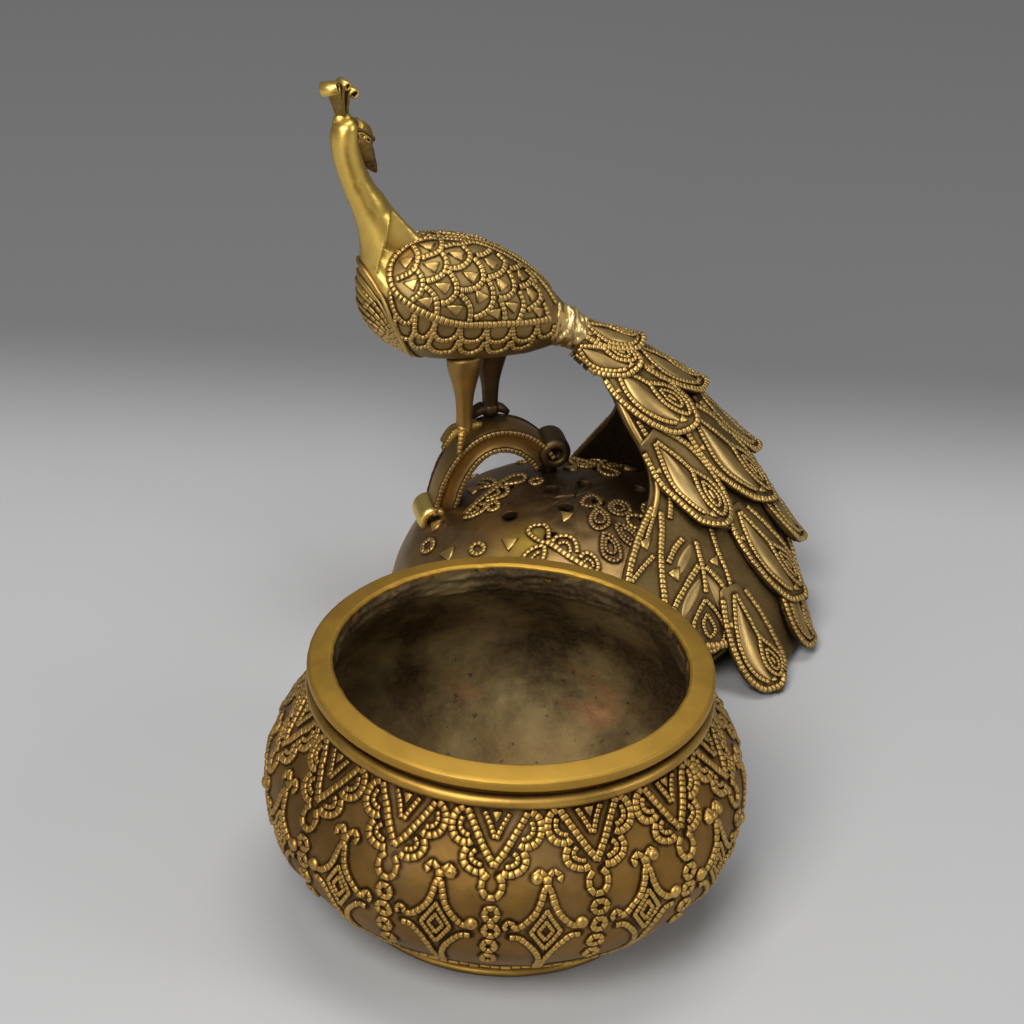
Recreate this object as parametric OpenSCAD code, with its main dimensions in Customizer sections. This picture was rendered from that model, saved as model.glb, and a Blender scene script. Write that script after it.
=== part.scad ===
// Round brass incense burner: a turned bowl with applied lace-work, and a
// pierced domed lid that carries a peacock standing on a scrolled arch, its
// tail falling behind the dome as a hollow cape of overlapping feathers.
// Millimetres. Origin: centre of the bowl's foot, on the table. +Z up.
// The lid stands on the table behind the bowl (+Y side).

/* [Bowl] */
// Outside diameter of the rim
rim_d = 104; // [96:1:112]
// Height of the rim's outer edge above the table
bowl_h = 69; // [64:1:74]
// Outside diameter of the belly's metal at its widest
belly_d = 122.5; // [118:0.5:127]
// Outside diameter of the foot
foot_d = 81; // [76:1:86]
// Wall thickness of the cast bowl
wall = 2.6; // [2:0.2:3.4]
// Width of the rim's flat face
rim_w = 6.6; // [5:0.2:8]

/* [Ornament] */
// Number of repeats of the lace pattern round the bowl
repeats = 14; // [12:1:14]
// Wire thickness of the applied lace
wire = 1.7; // [1.4:0.1:2]

/* [Lid] */
// Outside diameter of the lid's dome at its base
dome_d = 105; // [103:0.5:108]
// Height of the dome above the table when the lid stands on it
dome_h = 38.3; // [34:0.1:42]
// Depth of the locating ring that drops into the bowl's mouth
spigot = 2.5; // [2:0.5:4]
// Radial clearance of the locating ring in the mouth
spigot_gap = 0.7; // [0.4:0.1:1.2]
// Diameter of the smoke holes
hole_d = 4.4; // [3:0.2:5]
// Where the lid stands, to the side of the bowl
lid_x = 16; // [10:0.5:22]
// Where the lid stands, behind the bowl
lid_y = 137; // [132:0.5:146]
// Turn of the lid about its own axis, in degrees
lid_turn = 15; // [10:1:22]
// Offset of the bird from the middle of the dome
bird_y = 16.4; // [12:0.2:20]

/* [Hidden] */
$fn = 96;
U = 52;                         // half the rim's nominal diameter: the design's unit
rim_r = rim_d/2;
brass = [0.72, 0.55, 0.24];
dark = [0.45, 0.33, 0.15];
gold = [0.80, 0.62, 0.26];

// ---------- helpers ----------
function lerp(a, b, t) = a + (b - a)*t;
// value at t (0..1) along an evenly spaced list, Catmull-Rom
function cr(L, t) = let(n = len(L) - 1, s = max(0, min(n - 1e-6, t*n)), i = floor(s), f = s - i,
    a = L[max(0, i - 1)], b = L[i], c = L[min(n, i + 1)], d = L[min(n, i + 2)])
    0.5*(2*b + (c - a)*f + (2*a - 5*b + 4*c - d)*f*f + (3*b - a - 3*c + d)*f*f*f);
function unit(v) = v/max(1e-9, norm(v));
// closed skin over a list of rings, all with the same number of points
module loft(rings) {
    n = len(rings[0]); m = len(rings);
    pts = concat([for (r = rings) each r], [for (e = [0, m - 1]) [for (k = [0:2])
        [for (p = rings[e]) p[k]]*[for (p = rings[e]) 1/n]]]);
    polyhedron(pts, concat(
        [for (i = [0:m - 2], j = [0:n - 1]) [i*n + j, (i + 1)*n + j, (i + 1)*n + (j + 1)%n]],
        [for (i = [0:m - 2], j = [0:n - 1]) [i*n + j, (i + 1)*n + (j + 1)%n, i*n + (j + 1)%n]],
        [for (j = [0:n - 1]) [m*n, j, (j + 1)%n]],
        [for (j = [0:n - 1]) [m*n + 1, (m - 1)*n + (j + 1)%n, (m - 1)*n + j]]), convexity = 6);
}
// closed slab between an outer grid a[i][j] and an inner grid b[i][j]
module slab(a, b) {
    m = len(a); n = len(a[0]); o = m*n;
    border = concat([for (j = [0:n - 1]) j], [for (i = [1:m - 1]) i*n + n - 1],
        [for (j = [n - 2:-1:0]) (m - 1)*n + j], [for (i = [m - 2:-1:1]) i*n]);
    k = len(border);
    polyhedron(concat([for (r = a) each r], [for (r = b) each r]), concat(
        [for (i = [0:m - 2], j = [0:n - 2]) [i*n + j, i*n + j + 1, (i + 1)*n + j + 1]],
        [for (i = [0:m - 2], j = [0:n - 2]) [i*n + j, (i + 1)*n + j + 1, (i + 1)*n + j]],
        [for (i = [0:m - 2], j = [0:n - 2]) [o + i*n + j, o + (i + 1)*n + j + 1, o + i*n + j + 1]],
        [for (i = [0:m - 2], j = [0:n - 2]) [o + i*n + j, o + (i + 1)*n + j, o + (i + 1)*n + j + 1]],
        [for (q = [0:k - 1]) [border[q], o + border[(q + 1)%k], border[(q + 1)%k]]],
        [for (q = [0:k - 1]) [border[q], o + border[q], o + border[(q + 1)%k]]]), convexity = 8);
}
// tube of varying oval section along a list of [x, y, z, half_width, half_height],
// width across the path in y, height in the x-z plane
module tube(P, sides = 16) {
    m = len(P);
    loft([for (i = [0:m - 1])
        let(p = P[i], q = P[min(m - 1, i + 1)], o = P[max(0, i - 1)],
            t = unit([q[0] - o[0], 0, q[2] - o[2]]), nn = [-t[2], 0, t[0]])
        [for (j = [0:sides - 1]) let(a = -360*j/sides)
            [p[0], p[1], p[2]] + nn*p[4]*cos(a) + [0, 1, 0]*p[3]*sin(a)]]);
}

// ---------- bowl ----------
// radius of the belly's outer face at height z
function belly(z) = let(h = bowl_h - 8, t = max(0, min(1, (z - 3)/(h - 3))))
    cr([foot_d/2 - 1.5, foot_d/2 + 10.6, belly_d/2 - 2.2, belly_d/2, belly_d/2 - 0.7, belly_d/2 - 5.6, rim_r - 1.8], t);
// outward tilt of the belly's face, degrees above horizontal
function tilt(z) = atan2(belly(z - 0.5) - belly(z + 0.5), 1);

// inner face of the wall at height z
function bore(z) = belly(min(z, bowl_h - 8)) - wall - 0.9*pow(max(0, 1 - (z - 6.2)/(bowl_h - 14.5)), 3);
// one band of the wall between two heights
module band(z0, z1) rotate_extrude() polygon(concat(
    [for (i = [0:12]) let(z = z0 + (z1 - z0)*i/12) [belly(z), z]],
    [for (i = [12:-1:0]) let(z = z0 + (z1 - z0)*i/12) [bore(z), z]]));
split_1 = 8.5;
split_2 = 27;
split_3 = 45;

module bowl_floor() color(brass) rotate_extrude() polygon(concat(
    [for (i = [0:6]) let(z = 3 + (split_1 - 3)*i/6) [belly(z), z]],
    [for (i = [6:-1:0]) let(z = 6.2 + (split_1 - 6.2)*i/6) [bore(z), z]],
    [[24, 4.6], [0, 4.6], [0, 2.2], [foot_d/2 - 6, 2.2], [foot_d/2 - 4.6, 3]]));
module bowl_shell() color(brass) band(split_1, split_2);
module bowl_waist() color(brass) band(split_2, split_3);
module bowl_shoulder() color(brass) rotate_extrude() polygon(concat(
    [for (i = [0:12]) let(z = split_3 + (bowl_h - 8 - split_3)*i/12) [belly(z), z]],
    [[rim_r - 2.4, bowl_h - 6.5], [rim_r - 5.2, bowl_h - 6.5]],
    [for (i = [12:-1:0]) let(z = split_3 + (bowl_h - 8.3 - split_3)*i/12) [bore(z), z]]));

module rim_ring() color(gold) rotate_extrude() polygon([
    [rim_r - rim_w, bowl_h + 0.9], [rim_r - rim_w + 0.8, bowl_h + 1.5], [rim_r - 0.7, bowl_h + 0.4],
    [rim_r, bowl_h - 0.4], [rim_r, bowl_h - 2.2], [rim_r - 0.6, bowl_h - 2.9],
    [rim_r - 2.2, bowl_h - 3.4], [rim_r - 2.4, bowl_h - 6.5], [rim_r - 5.2, bowl_h - 6.5],
    [rim_r - rim_w, bowl_h - 3.4]]);

module neck_ridge() color(gold) translate([0, 0, bowl_h - 6.6]) rotate_extrude()
    translate([rim_r - 1.6, 0]) intersection() {
        circle(d = 3.6, $fn = 32);
        translate([-0.6, -3]) square([4, 6]);
    }

module foot_ring() color(gold) rotate_extrude() polygon([
    [foot_d/2 - 6, 0], [foot_d/2 - 0.8, 0], [foot_d/2, 0.7], [foot_d/2, 1.9], [foot_d/2 - 0.9, 2.6],
    [foot_d/2 - 2.6, 3], [foot_d/2 - 4.6, 3], [foot_d/2 - 6, 2.2]]);

// ---------- applied lace-work on the belly ----------
// places children on the belly at angle a and height z: local x round the bowl, y up the wall, z outward
module on_belly(a, z, lift = 0) rotate(a) translate([belly(z), 0, z]) rotate([0, -tilt(z), 0])
    rotate([90, 0, 90]) translate([0, 0, lift]) children();
function pt(a, z, lift = 0) = let(r = belly(z) + lift*cos(tilt(z))) [r*cos(a), r*sin(a), z + lift*sin(tilt(z))];
module rod(p, q, d) { v = q - p; translate(p) rotate([0, acos(v[2]/norm(v)), atan2(v[1], v[0])]) cylinder(d = d, h = norm(v), $fn = 24); }
module ring(d, w) rotate_extrude($fn = 32) translate([d/2 - w/2, 0]) circle(d = w, $fn = 16);
step = 360/repeats;
first = -91.7;                  // the middle pendant of the front, degrees

// the same, with the place given as s mm round the bowl from angle a
function mp(a, s, z, lift = 0.3) = pt(a + s/belly(z)*180/PI, z, lift);
module at_belly(a, s, z, lift = 0.2) on_belly(a + s/belly(z)*180/PI, z, lift) children();

module lace_pendants() color(gold) for (k = [0:repeats - 1]) let(a = first + k*step) {
    for (s = [-1, 1]) {
        rod(mp(a, s*6.5, bowl_h - 9.4), mp(a, s*1.3, bowl_h - 20.4), wire - 0.2);
        rod(mp(a, s*3.1, bowl_h - 9.6), mp(a, s*0.95, bowl_h - 13.9), wire - 0.5);
        at_belly(a, s*8.6, bowl_h - 13.4) ring(5.2, wire - 0.2);
        at_belly(a, s*5.6, bowl_h - 19.6) ring(4.6, wire - 0.2);
    }
}
module drop_rings() color(gold) for (k = [0:repeats - 1]) let(a = first + k*step) {
    at_belly(a, 0, bowl_h - 25.3) ring(5.6, 1.5);
    for (z = [bowl_h - 32.1, bowl_h - 37.4, bowl_h - 42.8, bowl_h - 48.4]) at_belly(a, 0, z) ring(4.2, 1.4);
}
module anchor_motifs() color(gold) for (k = [0:repeats - 1]) let(a = first + (k + 0.5)*step) {
    translate(mp(a, 0, bowl_h - 26.1)) sphere(d = 1.4*wire, $fn = 24);
    rod(mp(a, 0, bowl_h - 26.1), mp(a, 0, bowl_h - 23.1), wire);
    for (s = [-1, 1]) {
        rod(mp(a, 0, bowl_h - 26.1), mp(a, s*5.2, bowl_h - 34.8), wire);
        at_belly(a, s*2.9, bowl_h - 23.4) ring(3.6, 1.4);
    }
}
module lozenges() color(gold) for (k = [0:repeats - 1]) let(a = first + (k + 0.5)*step)
    let(q = [mp(a, 0, bowl_h - 31.4), mp(a, 3.4, bowl_h - 37.6), mp(a, 0, bowl_h - 43.2), mp(a, -3.4, bowl_h - 37.6)])
    for (i = [0:3]) { rod(q[i], q[(i + 1)%4], 1.4); translate(q[i]) sphere(d = 1.9, $fn = 24); }
module pellets() color(gold) for (k = [0:repeats - 1]) let(a = first + (k + 0.5)*step)
    for (s = [-1, 1]) {
        translate(mp(a, s*2.9, bowl_h - 23.4, 0.5)) sphere(d = 3.2, $fn = 24);
        translate(mp(a, s*8.2, bowl_h - 35.8, 0.5)) sphere(d = 3, $fn = 24);
    }
module foot_scallops() color(gold) for (k = [0:repeats - 1]) let(a = first + (k + 0.5)*step)
    for (s = [-1, 1]) at_belly(a, s*5.8, bowl_h - 54.4) ring(8.2, 1.5);
// a pellet of the lace-work at the back of the bowl
module carry_pellet() color(gold) translate(pt(first + 180, bowl_h - 14, 2.6)) sphere(d = 4, $fn = 32);

// ---------- lid ----------
module lid_place() translate([lid_x, lid_y, 0]) rotate(lid_turn) children();
module bird_place() lid_place() translate([0, bird_y, 0]) children();
dome_r = dome_d/2;
// height of the dome's outer face at radius r, a little squarer than an ellipse
function dome_z(r) = spigot + 2 + (dome_h - spigot - 2)*pow(max(0, 1 - pow(r/dome_r, 2.1)), 1/2.05);
function dome_p(a, r, lift = 0) = let(e = 0.5, s = atan2(dome_z(r - e) - dome_z(min(dome_r - 0.01, r + e)), 2*e))
    [(r + lift*sin(s))*cos(a), (r + lift*sin(s))*sin(a), dome_z(r) + lift*cos(s)];
module on_dome(a, r, lift = 0) let(e = 0.5, s = atan2(dome_z(r - e) - dome_z(min(dome_r - 0.01, r + e)), 2*e))
    translate(dome_p(a, r, lift)) rotate(a) rotate([0, s, 0]) children();
// smoke holes: [angle, radius]
holes = concat([for (k = [0:3]) [k*90 + 69, 7.4]], [for (k = [0:7]) [k*45 + 27.5, 21]]);
// the dome's wall, outer and inner profile by ring, in two parts
function dome_o(i) = let(r = dome_r*sin(90*i/24)) [r, dome_z(min(r, dome_r - 0.001))];
function dome_i(i) = let(r = (dome_r - 2.2)*sin(90*i/24)) [r, spigot + 2 + (dome_h - spigot - 4.2)*pow(max(0, 1 - pow(r/(dome_r - 2.2), 2.1)), 1/2.05)];
module dome_part(i0, i1) difference() {
    rotate_extrude($fn = 128) polygon(concat([for (i = [i0:i1]) dome_o(i)], [for (i = [i1:-1:i0]) dome_i(i)]));
    for (h = holes) if ((h[1] < dome_r/2) == (i0 == 0)) on_dome(h[0] - lid_turn, h[1], -6) cylinder(d = hole_d, h = 12, $fn = 24);
}
module dome() color(dark) lid_place() dome_part(8, 24);
module dome_crown() color(dark) lid_place() dome_part(0, 8);
module lid_flange() color(gold) lid_place() translate([0, 0, spigot]) rotate_extrude() polygon([
    [rim_r - rim_w - 3.4, 0], [dome_r - 0.4, 0], [dome_r, 0.5], [dome_r, 2],
    [dome_r - 2.2, 2], [rim_r - rim_w - 3.4, 2]]);
module locating_ring() color(gold) lid_place() rotate_extrude() polygon([
    [rim_r - rim_w - spigot_gap - 2.2, 0], [rim_r - rim_w - spigot_gap - 0.5, 0], [rim_r - rim_w - spigot_gap, 0.6],
    [rim_r - rim_w - spigot_gap, spigot], [rim_r - rim_w - spigot_gap - 2.2, spigot]]);

module dome_triangles() color(gold) lid_place() for (k = [0:11])
    on_dome(k*30 + 18 - lid_turn, 41.5, -0.5) rotate(180) cylinder(d = 6.4, h = 1.1, $fn = 3);
module dome_rings() color(gold) lid_place() for (k = [0:7])
    on_dome(k*45 + 32 - lid_turn, k%2 == 0 ? 36 : 25.5, 0.1) ring(5, 1.3);
module bow(a, r) { 
    on_dome(a, r, 0.1) ring(7.6, 1.4);
    on_dome(a + 13, r - 1, 0.1) ring(7.6, 1.4);
    on_dome(a + 7, r + 6.5, 0.1) ring(6, 1.4);
}
module dome_bow() color(gold) lid_place() for (k = [0:3]) bow(-75 + 90*k - lid_turn, 38);
module dome_blossom() color(dark) lid_place() for (q = [-48, 42, 132, 222]) for (k = [0:4])
    on_dome(q - lid_turn + 9*cos(72*k), 30 + 5*sin(72*k), 0.1) ring(4.6, 1.2);
module dome_border() color(gold) lid_place() translate([0, 0, spigot + 2.4]) rotate_extrude()
    translate([dome_r - 0.35, 0]) circle(d = 1.5, $fn = 16);

// ---------- arch under the bird ----------
band_w = 9.4;                  // width of the arch's band
// the band's middle line in the bird's plane, from the front foot to the rear one
arch_mid = [[-0.69, 0.52], [-0.675, 0.62], [-0.635, 0.76], [-0.565, 0.885], [-0.47, 0.965], [-0.365, 0.985], [-0.26, 0.955], [-0.17, 0.885], [-0.115, 0.81]];
function am(t) = U*[cr([for (p = arch_mid) p[0]], t), cr([for (p = arch_mid) p[1]], t)];
function am_n(t) = let(d = am(min(1, t + 0.02)) - am(max(0, t - 0.02))) unit([-d[1], d[0]]);
module in_plane(w) translate([0, w/2, 0]) rotate([90, 0, 0]) linear_extrude(w) children();
module arch_band() color(brass) bird_place() in_plane(band_w) polygon(concat(
    [for (i = [0:26]) am(i/26) + am_n(i/26)*3.9], [for (i = [26:-1:0]) am(i/26) - am_n(i/26)*3.4]));
module arch_ropes() color(gold) bird_place() for (s = [-1, 1], e = [3.1, -2.7])
    tube([for (i = [0:18]) let(t = 0.03 + 0.94*i/18, p = am(t) + am_n(t)*e) [p[0], s*(band_w/2 + 0.15), p[1], 0.65, 0.65]], 10);
module scroll(x, z, r) translate([x, 0, z]) rotate([90, 0, 0]) difference() {
    cylinder(r = r, h = band_w + 1.6, center = true, $fn = 48);
    for (s = [-1, 1]) translate([0, 0, s*(band_w/2 + 0.8)]) cylinder(r = r*0.55, h = 1.6, center = true, $fn = 32);
}
module front_scroll() color(gold) bird_place() scroll(-0.755*U, 0.505*U, 4.5);
module rear_scroll() color(gold) bird_place() {
    scroll(-0.066*U, 0.875*U, 4.8);
    translate([-0.066*U, 2, 0.66*U]) cylinder(d = 5, h = 0.16*U, $fn = 32);
}

// ---------- legs and feet ----------
// [x, y, z, half width, half length], in units of U except the last two (mm)
function leg(x0, x1, y, z0, z1) = [for (i = [0:9]) let(t = i/9)
    [U*lerp(x0, x1, t), y, U*lerp(z0, z1, t), cr([4.6, 4.2, 3.2, 2.5, 2.2, 2.2, 2.5], t), cr([6.2, 5.4, 4.0, 2.9, 2.4, 2.4, 2.8], t)]];
module near_leg() color(gold) bird_place() tube(leg(-0.615, -0.60, -4.4, 1.53, 1.10), 14);
module far_leg() color(gold) bird_place() tube(leg(-0.43, -0.413, 4.4, 1.50, 1.09), 14);
module toe(x, y, z, dx, dy, dz) bird_place() loft([for (i = [0:6]) let(t = i/6, c = [x, y, z] + [dx, dy, 0]*t + [0, 0, dz*t*t + 0.9*sin(180*t)])
    [for (j = [0:9]) let(a = 36*j, r = cr([1.9, 1.8, 1.6, 1.5, 0.8], t)) c + [-dy, dx, 0]/norm([dx, dy])*r*cos(a) + [0, 0, r*sin(a)]]]);
module near_foot() color(gold) { x = -0.605*U; z = 1.075*U;
    toe(x, -4.4, z, -6.2, -2.6, -4.6); toe(x, -4.4, z, -5.6, 1.8, -4.2); toe(x, -4.4, z, -1.6, -3.2, -6.0); toe(x, -4.4, z, 5.6, 0.4, 1.2); }
module far_foot() color(gold) { x = -0.413*U; z = 1.095*U;
    toe(x, 4.4, z, -5.6, 1.8, -1.6); toe(x, 4.4, z, -5.8, -1.4, -1.6); toe(x, 4.4, z, 5.4, 0.2, -1.6); }

// ---------- bird ----------
// body sections from breast to tail: [x, z, half width, half height]
body_s = [[-1.195, 2.005, 0.04, 0.05], [-1.165, 1.99, 0.115, 0.125], [-1.09, 1.965, 0.20, 0.21], [-0.97, 1.94, 0.265, 0.29],
    [-0.81, 1.895, 0.295, 0.33], [-0.64, 1.857, 0.29, 0.332], [-0.48, 1.812, 0.262, 0.302], [-0.33, 1.762, 0.22, 0.252],
    [-0.20, 1.71, 0.165, 0.195], [-0.09, 1.668, 0.105, 0.13]];
function col(L, k) = [for (p = L) p[k]];
function body_c(t) = U*[cr(col(body_s, 0), t), 0, cr(col(body_s, 1), t)];
// point of the body's skin at t along it and angle a round it (0 = back, 90 = near side), lifted outward
function body_p(t, a, lift = 0) = body_c(t) + [0.28*(cr(col(body_s, 3), t)*U + lift)*cos(a),
    -(cr(col(body_s, 2), t)*U + lift)*sin(a), (cr(col(body_s, 3), t)*U + lift)*cos(a)];
module bird_body() color(dark) bird_place() loft([for (i = [0:20]) [for (j = [0:27]) body_p(i/20, -360*j/28)]]);
module wing(s) slab(
    [for (i = [0:14]) [for (j = [0:9]) let(t = lerp(0.13, 0.94, i/14), e = sin(180*pow(i/14, 0.8)), m = 52 - 3*i/14)
        body_p(t, (s > 0 ? 1 : -1)*(m + lerp(-44, 38, j/9)*max(0.05, pow(e, 0.55))), 1.1)]],
    [for (i = [0:14]) [for (j = [0:9]) let(t = lerp(0.13, 0.94, i/14), e = sin(180*pow(i/14, 0.8)), m = 52 - 3*i/14)
        body_p(t, (s > 0 ? 1 : -1)*(m + lerp(-44, 38, j/9)*max(0.05, pow(e, 0.55))), -0.6)]]);
module near_wing() color(gold) bird_place() wing(1);
module far_wing() color(gold) bird_place() mirror([0, 1, 0]) wing(1);
module breast_shield() color(gold) bird_place() slab(
    [for (i = [0:8]) [for (j = [0:10]) body_p(lerp(0.03, 0.30, i/8), 180 + lerp(-100, 100, j/10)*(1 - 0.45*i/8) , 0.8)]],
    [for (i = [0:8]) [for (j = [0:10]) body_p(lerp(0.03, 0.30, i/8), 180 + lerp(-100, 100, j/10)*(1 - 0.45*i/8) , -0.6)]]);
// neck and head: [x, y, z, half width, half depth] in units of U
neck_s = [[-0.985, 0, 2.03, 0.215, 0.23], [-1.02, 0, 2.15, 0.175, 0.195], [-1.075, 0, 2.28, 0.13, 0.14], [-1.14, 0, 2.42, 0.095, 0.105],
    [-1.215, 0, 2.575, 0.08, 0.088], [-1.27, 0, 2.72, 0.078, 0.085], [-1.292, 0, 2.84, 0.082, 0.09],
    [-1.288, 0.01, 2.91, 0.085, 0.095], [-1.279, 0.01, 2.96, 0.07, 0.078], [-1.272, 0.01, 2.985, 0.03, 0.035]];
module neck_and_head() color(gold) bird_place() {
    loft([for (i = [0:22]) let(t = i/22, q = [for (k = [0:4]) U*cr(col(neck_s, k), t)],
        d = [for (k = [0:2]) U*(cr(col(neck_s, k), min(1, t + 0.03)) - cr(col(neck_s, k), max(0, t - 0.03)))], f = unit([-d[2], 0, d[0]]))
        [for (j = [0:19]) let(a = -18*j) [q[0], q[1], q[2]] + f*q[4]*cos(a) + [0, 1, 0]*q[3]*sin(a)]]);
    // beak, turned down and to the side
    loft([for (i = [0:8]) let(t = i/8, r = cr([0.054, 0.068, 0.058, 0.040, 0.012], t)*U,
        c = U*[cr([-1.232, -1.206, -1.188, -1.150, -1.108], t), 0.035 + 0.048*t, cr([2.905, 2.835, 2.757, 2.684, 2.618], t)])
        [for (j = [0:11]) let(a = -30*j) c + [0.80, 0, 0.60]*r*cos(a) + [0, 0.8, 0]*r*sin(a)]]);
}
// crest: three plumes with curled tops, each a ribbon in the bird's plane: [x, z, half width, half thickness]
module plume(L) tube([for (i = [0:14]) let(t = i/14) [U*cr(col(L, 0), t), 0.5, U*cr(col(L, 1), t), cr(col(L, 2), t), cr(col(L, 3), t)]], 10);
module crest_plumes() color(gold) bird_place() {
    plume([[-1.322, 2.94, 1.3, 0.6], [-1.335, 3.05, 1.8, 0.6], [-1.365, 3.11, 2.6, 0.9], [-1.395, 3.165, 3.2, 1.5], [-1.42, 3.195, 2.6, 1.0]]);
    plume([[-1.292, 2.95, 1.2, 0.6], [-1.298, 3.06, 1.6, 0.6], [-1.312, 3.13, 2.2, 0.8], [-1.33, 3.19, 2.2, 1.1], [-1.345, 3.215, 1.6, 0.6]]);
    plume([[-1.262, 2.94, 1.0, 0.6], [-1.258, 3.04, 1.4, 0.6], [-1.262, 3.10, 1.8, 0.8], [-1.272, 3.14, 1.2, 0.6]]);
}

// ---------- tail ----------
// the cape at six stations from collar to hem, in the dome's frame: ridge, near edge, far edge
ridge = [[-0.05, 0.315, 1.69], [0.36, 0.31, 1.49], [0.72, 0.27, 1.19], [1.03, 0.20, 0.81], [1.225, 0.10, 0.42], [1.28, 0, 0.01]];
near_e = [[-0.03, 0.24, 1.57], [0.14, 0.14, 1.42], [0.24, -0.05, 1.22], [0.36, -0.24, 0.90], [0.09, -0.74, 0.655], [-0.05, -1.20, 0.01]];
far_e = [[-0.03, 0.39, 1.57], [0.16, 0.47, 1.40], [0.30, 0.60, 1.18], [0.42, 0.75, 0.86], [0.26, 0.92, 0.47], [0.05, 1.16, 0.01]];
function cape(u, v) = let(e = v < 0 ? near_e : far_e, a = 90*abs(v), q = 1 + 0.10*u*pow(sin(2*a), 2),
    r = [for (k = [0:2]) cr(col(ridge, k), u)], b = [for (k = [0:2]) cr(col(e, k), u)])
    U*[b[0] + (r[0] - b[0])*cos(a)*q, r[1] + (b[1] - r[1])*sin(a)*q, b[2] + (r[2] - b[2])*cos(a)];
function cape_n(u, v) = let(d = 0.01, a = cape(min(1, u + d), v) - cape(max(0, u - d), v), b = cape(u, v + d) - cape(u, v - d)) unit(cross(a, b));
function cape_p(u, v, lift) = let(p = cape(u, v) + cape_n(u, v)*lift) [p[0], p[1], max(0.4 + max(0, lift)*0.1, p[2])];
module tail_collar() color(gold) bird_place() tube([for (i = [0:6]) let(t = i/6)
    [U*lerp(-0.15, 0.06, t), 0, U*lerp(1.695, 1.60, t), U*cr([0.13, 0.115, 0.10, 0.12], t), U*cr([0.155, 0.125, 0.105, 0.10], t)]], 18);
module tail_cape() color(dark) lid_place() slab(
    [for (i = [0:18]) [for (j = [-12:12]) cape_p(lerp(0.10, 0.955, i/18), j/12, 0)]],
    [for (i = [0:18]) [for (j = [-12:12]) cape_p(lerp(0.10, 0.955, i/18), j/12, -1.8)]]);
// one feather: root and tip along the cape, middle v0, half width dv, rise of the tip
module feather(u0, u1, v0, dv, rise) slab(
    [for (i = [0:7]) [for (j = [-3:3]) let(s = i/7, w = dv*cr([0.45, 0.80, 1.0, 1.0, 0.82, 0.10], s)) cape_p(lerp(u0, u1, s), v0 + w*j/3, 1.3 + rise*s*s)]],
    [for (i = [0:7]) [for (j = [-3:3]) let(s = i/7, w = dv*cr([0.45, 0.80, 1.0, 1.0, 0.82, 0.10], s)) cape_p(lerp(u0, u1, s), v0 + w*j/3, 0.1 + rise*s*s)]]);
module tier(u0, u1, n, span, dv, rise) for (k = [0:n - 1]) feather(u0, u1, lerp(-span, span, k/(n - 1)), dv, rise);
module tail_tier_1() color(gold) lid_place() tier(0.06, 0.25, 2, 0.36, 0.34, 2.4);
module tail_tier_2() color(gold) lid_place() tier(0.19, 0.48, 3, 0.62, 0.29, 2.8);
module tail_tier_3() color(gold) lid_place() tier(0.40, 0.69, 5, 0.68, 0.16, 3.2);
module tail_tier_4() color(gold) lid_place() tier(0.60, 0.88, 6, 0.73, 0.138, 3.6);
module tail_tier_5() color(gold) lid_place() tier(0.76, 1.0, 7, 0.84, 0.132, 3.4);

bowl_floor();
bowl_shell();
bowl_waist();
bowl_shoulder();
rim_ring();
neck_ridge();
foot_ring();
lace_pendants();
drop_rings();
anchor_motifs();
lozenges();
pellets();
foot_scallops();
carry_pellet();
dome();
dome_crown();
lid_flange();
locating_ring();
dome_triangles();
dome_rings();
dome_bow();
dome_blossom();
dome_border();
arch_band();
arch_ropes();
front_scroll();
rear_scroll();
near_leg();
far_leg();
near_foot();
far_foot();
bird_body();
near_wing();
far_wing();
breast_shield();
neck_and_head();
crest_plumes();
tail_collar();
tail_cape();
tail_tier_1();
tail_tier_2();
tail_tier_3();
tail_tier_4();
tail_tier_5();
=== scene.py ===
import math
import bpy
import numpy as np
from mathutils import Matrix, Vector
from mathutils.bvhtree import BVHTree
from mathutils.kdtree import KDTree


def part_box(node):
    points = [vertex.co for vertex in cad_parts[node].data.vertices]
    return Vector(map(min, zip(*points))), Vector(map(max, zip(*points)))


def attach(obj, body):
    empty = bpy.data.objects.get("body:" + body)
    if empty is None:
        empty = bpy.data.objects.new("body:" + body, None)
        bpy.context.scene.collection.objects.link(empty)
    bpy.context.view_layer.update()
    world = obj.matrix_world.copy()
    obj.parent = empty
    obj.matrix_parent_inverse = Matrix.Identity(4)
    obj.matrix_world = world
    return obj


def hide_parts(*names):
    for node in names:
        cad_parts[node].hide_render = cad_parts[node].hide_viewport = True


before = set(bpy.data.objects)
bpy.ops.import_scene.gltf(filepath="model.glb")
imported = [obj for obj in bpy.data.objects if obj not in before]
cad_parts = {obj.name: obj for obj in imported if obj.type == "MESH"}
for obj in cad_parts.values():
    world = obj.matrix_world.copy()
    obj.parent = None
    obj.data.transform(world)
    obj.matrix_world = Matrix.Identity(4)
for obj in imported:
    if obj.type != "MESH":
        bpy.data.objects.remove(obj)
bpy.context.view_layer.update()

# All builders work in millimetres and are scaled to metres when a mesh is made.
MM = 0.001
rng = np.random.default_rng(11)
D2R = math.pi/180

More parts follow.
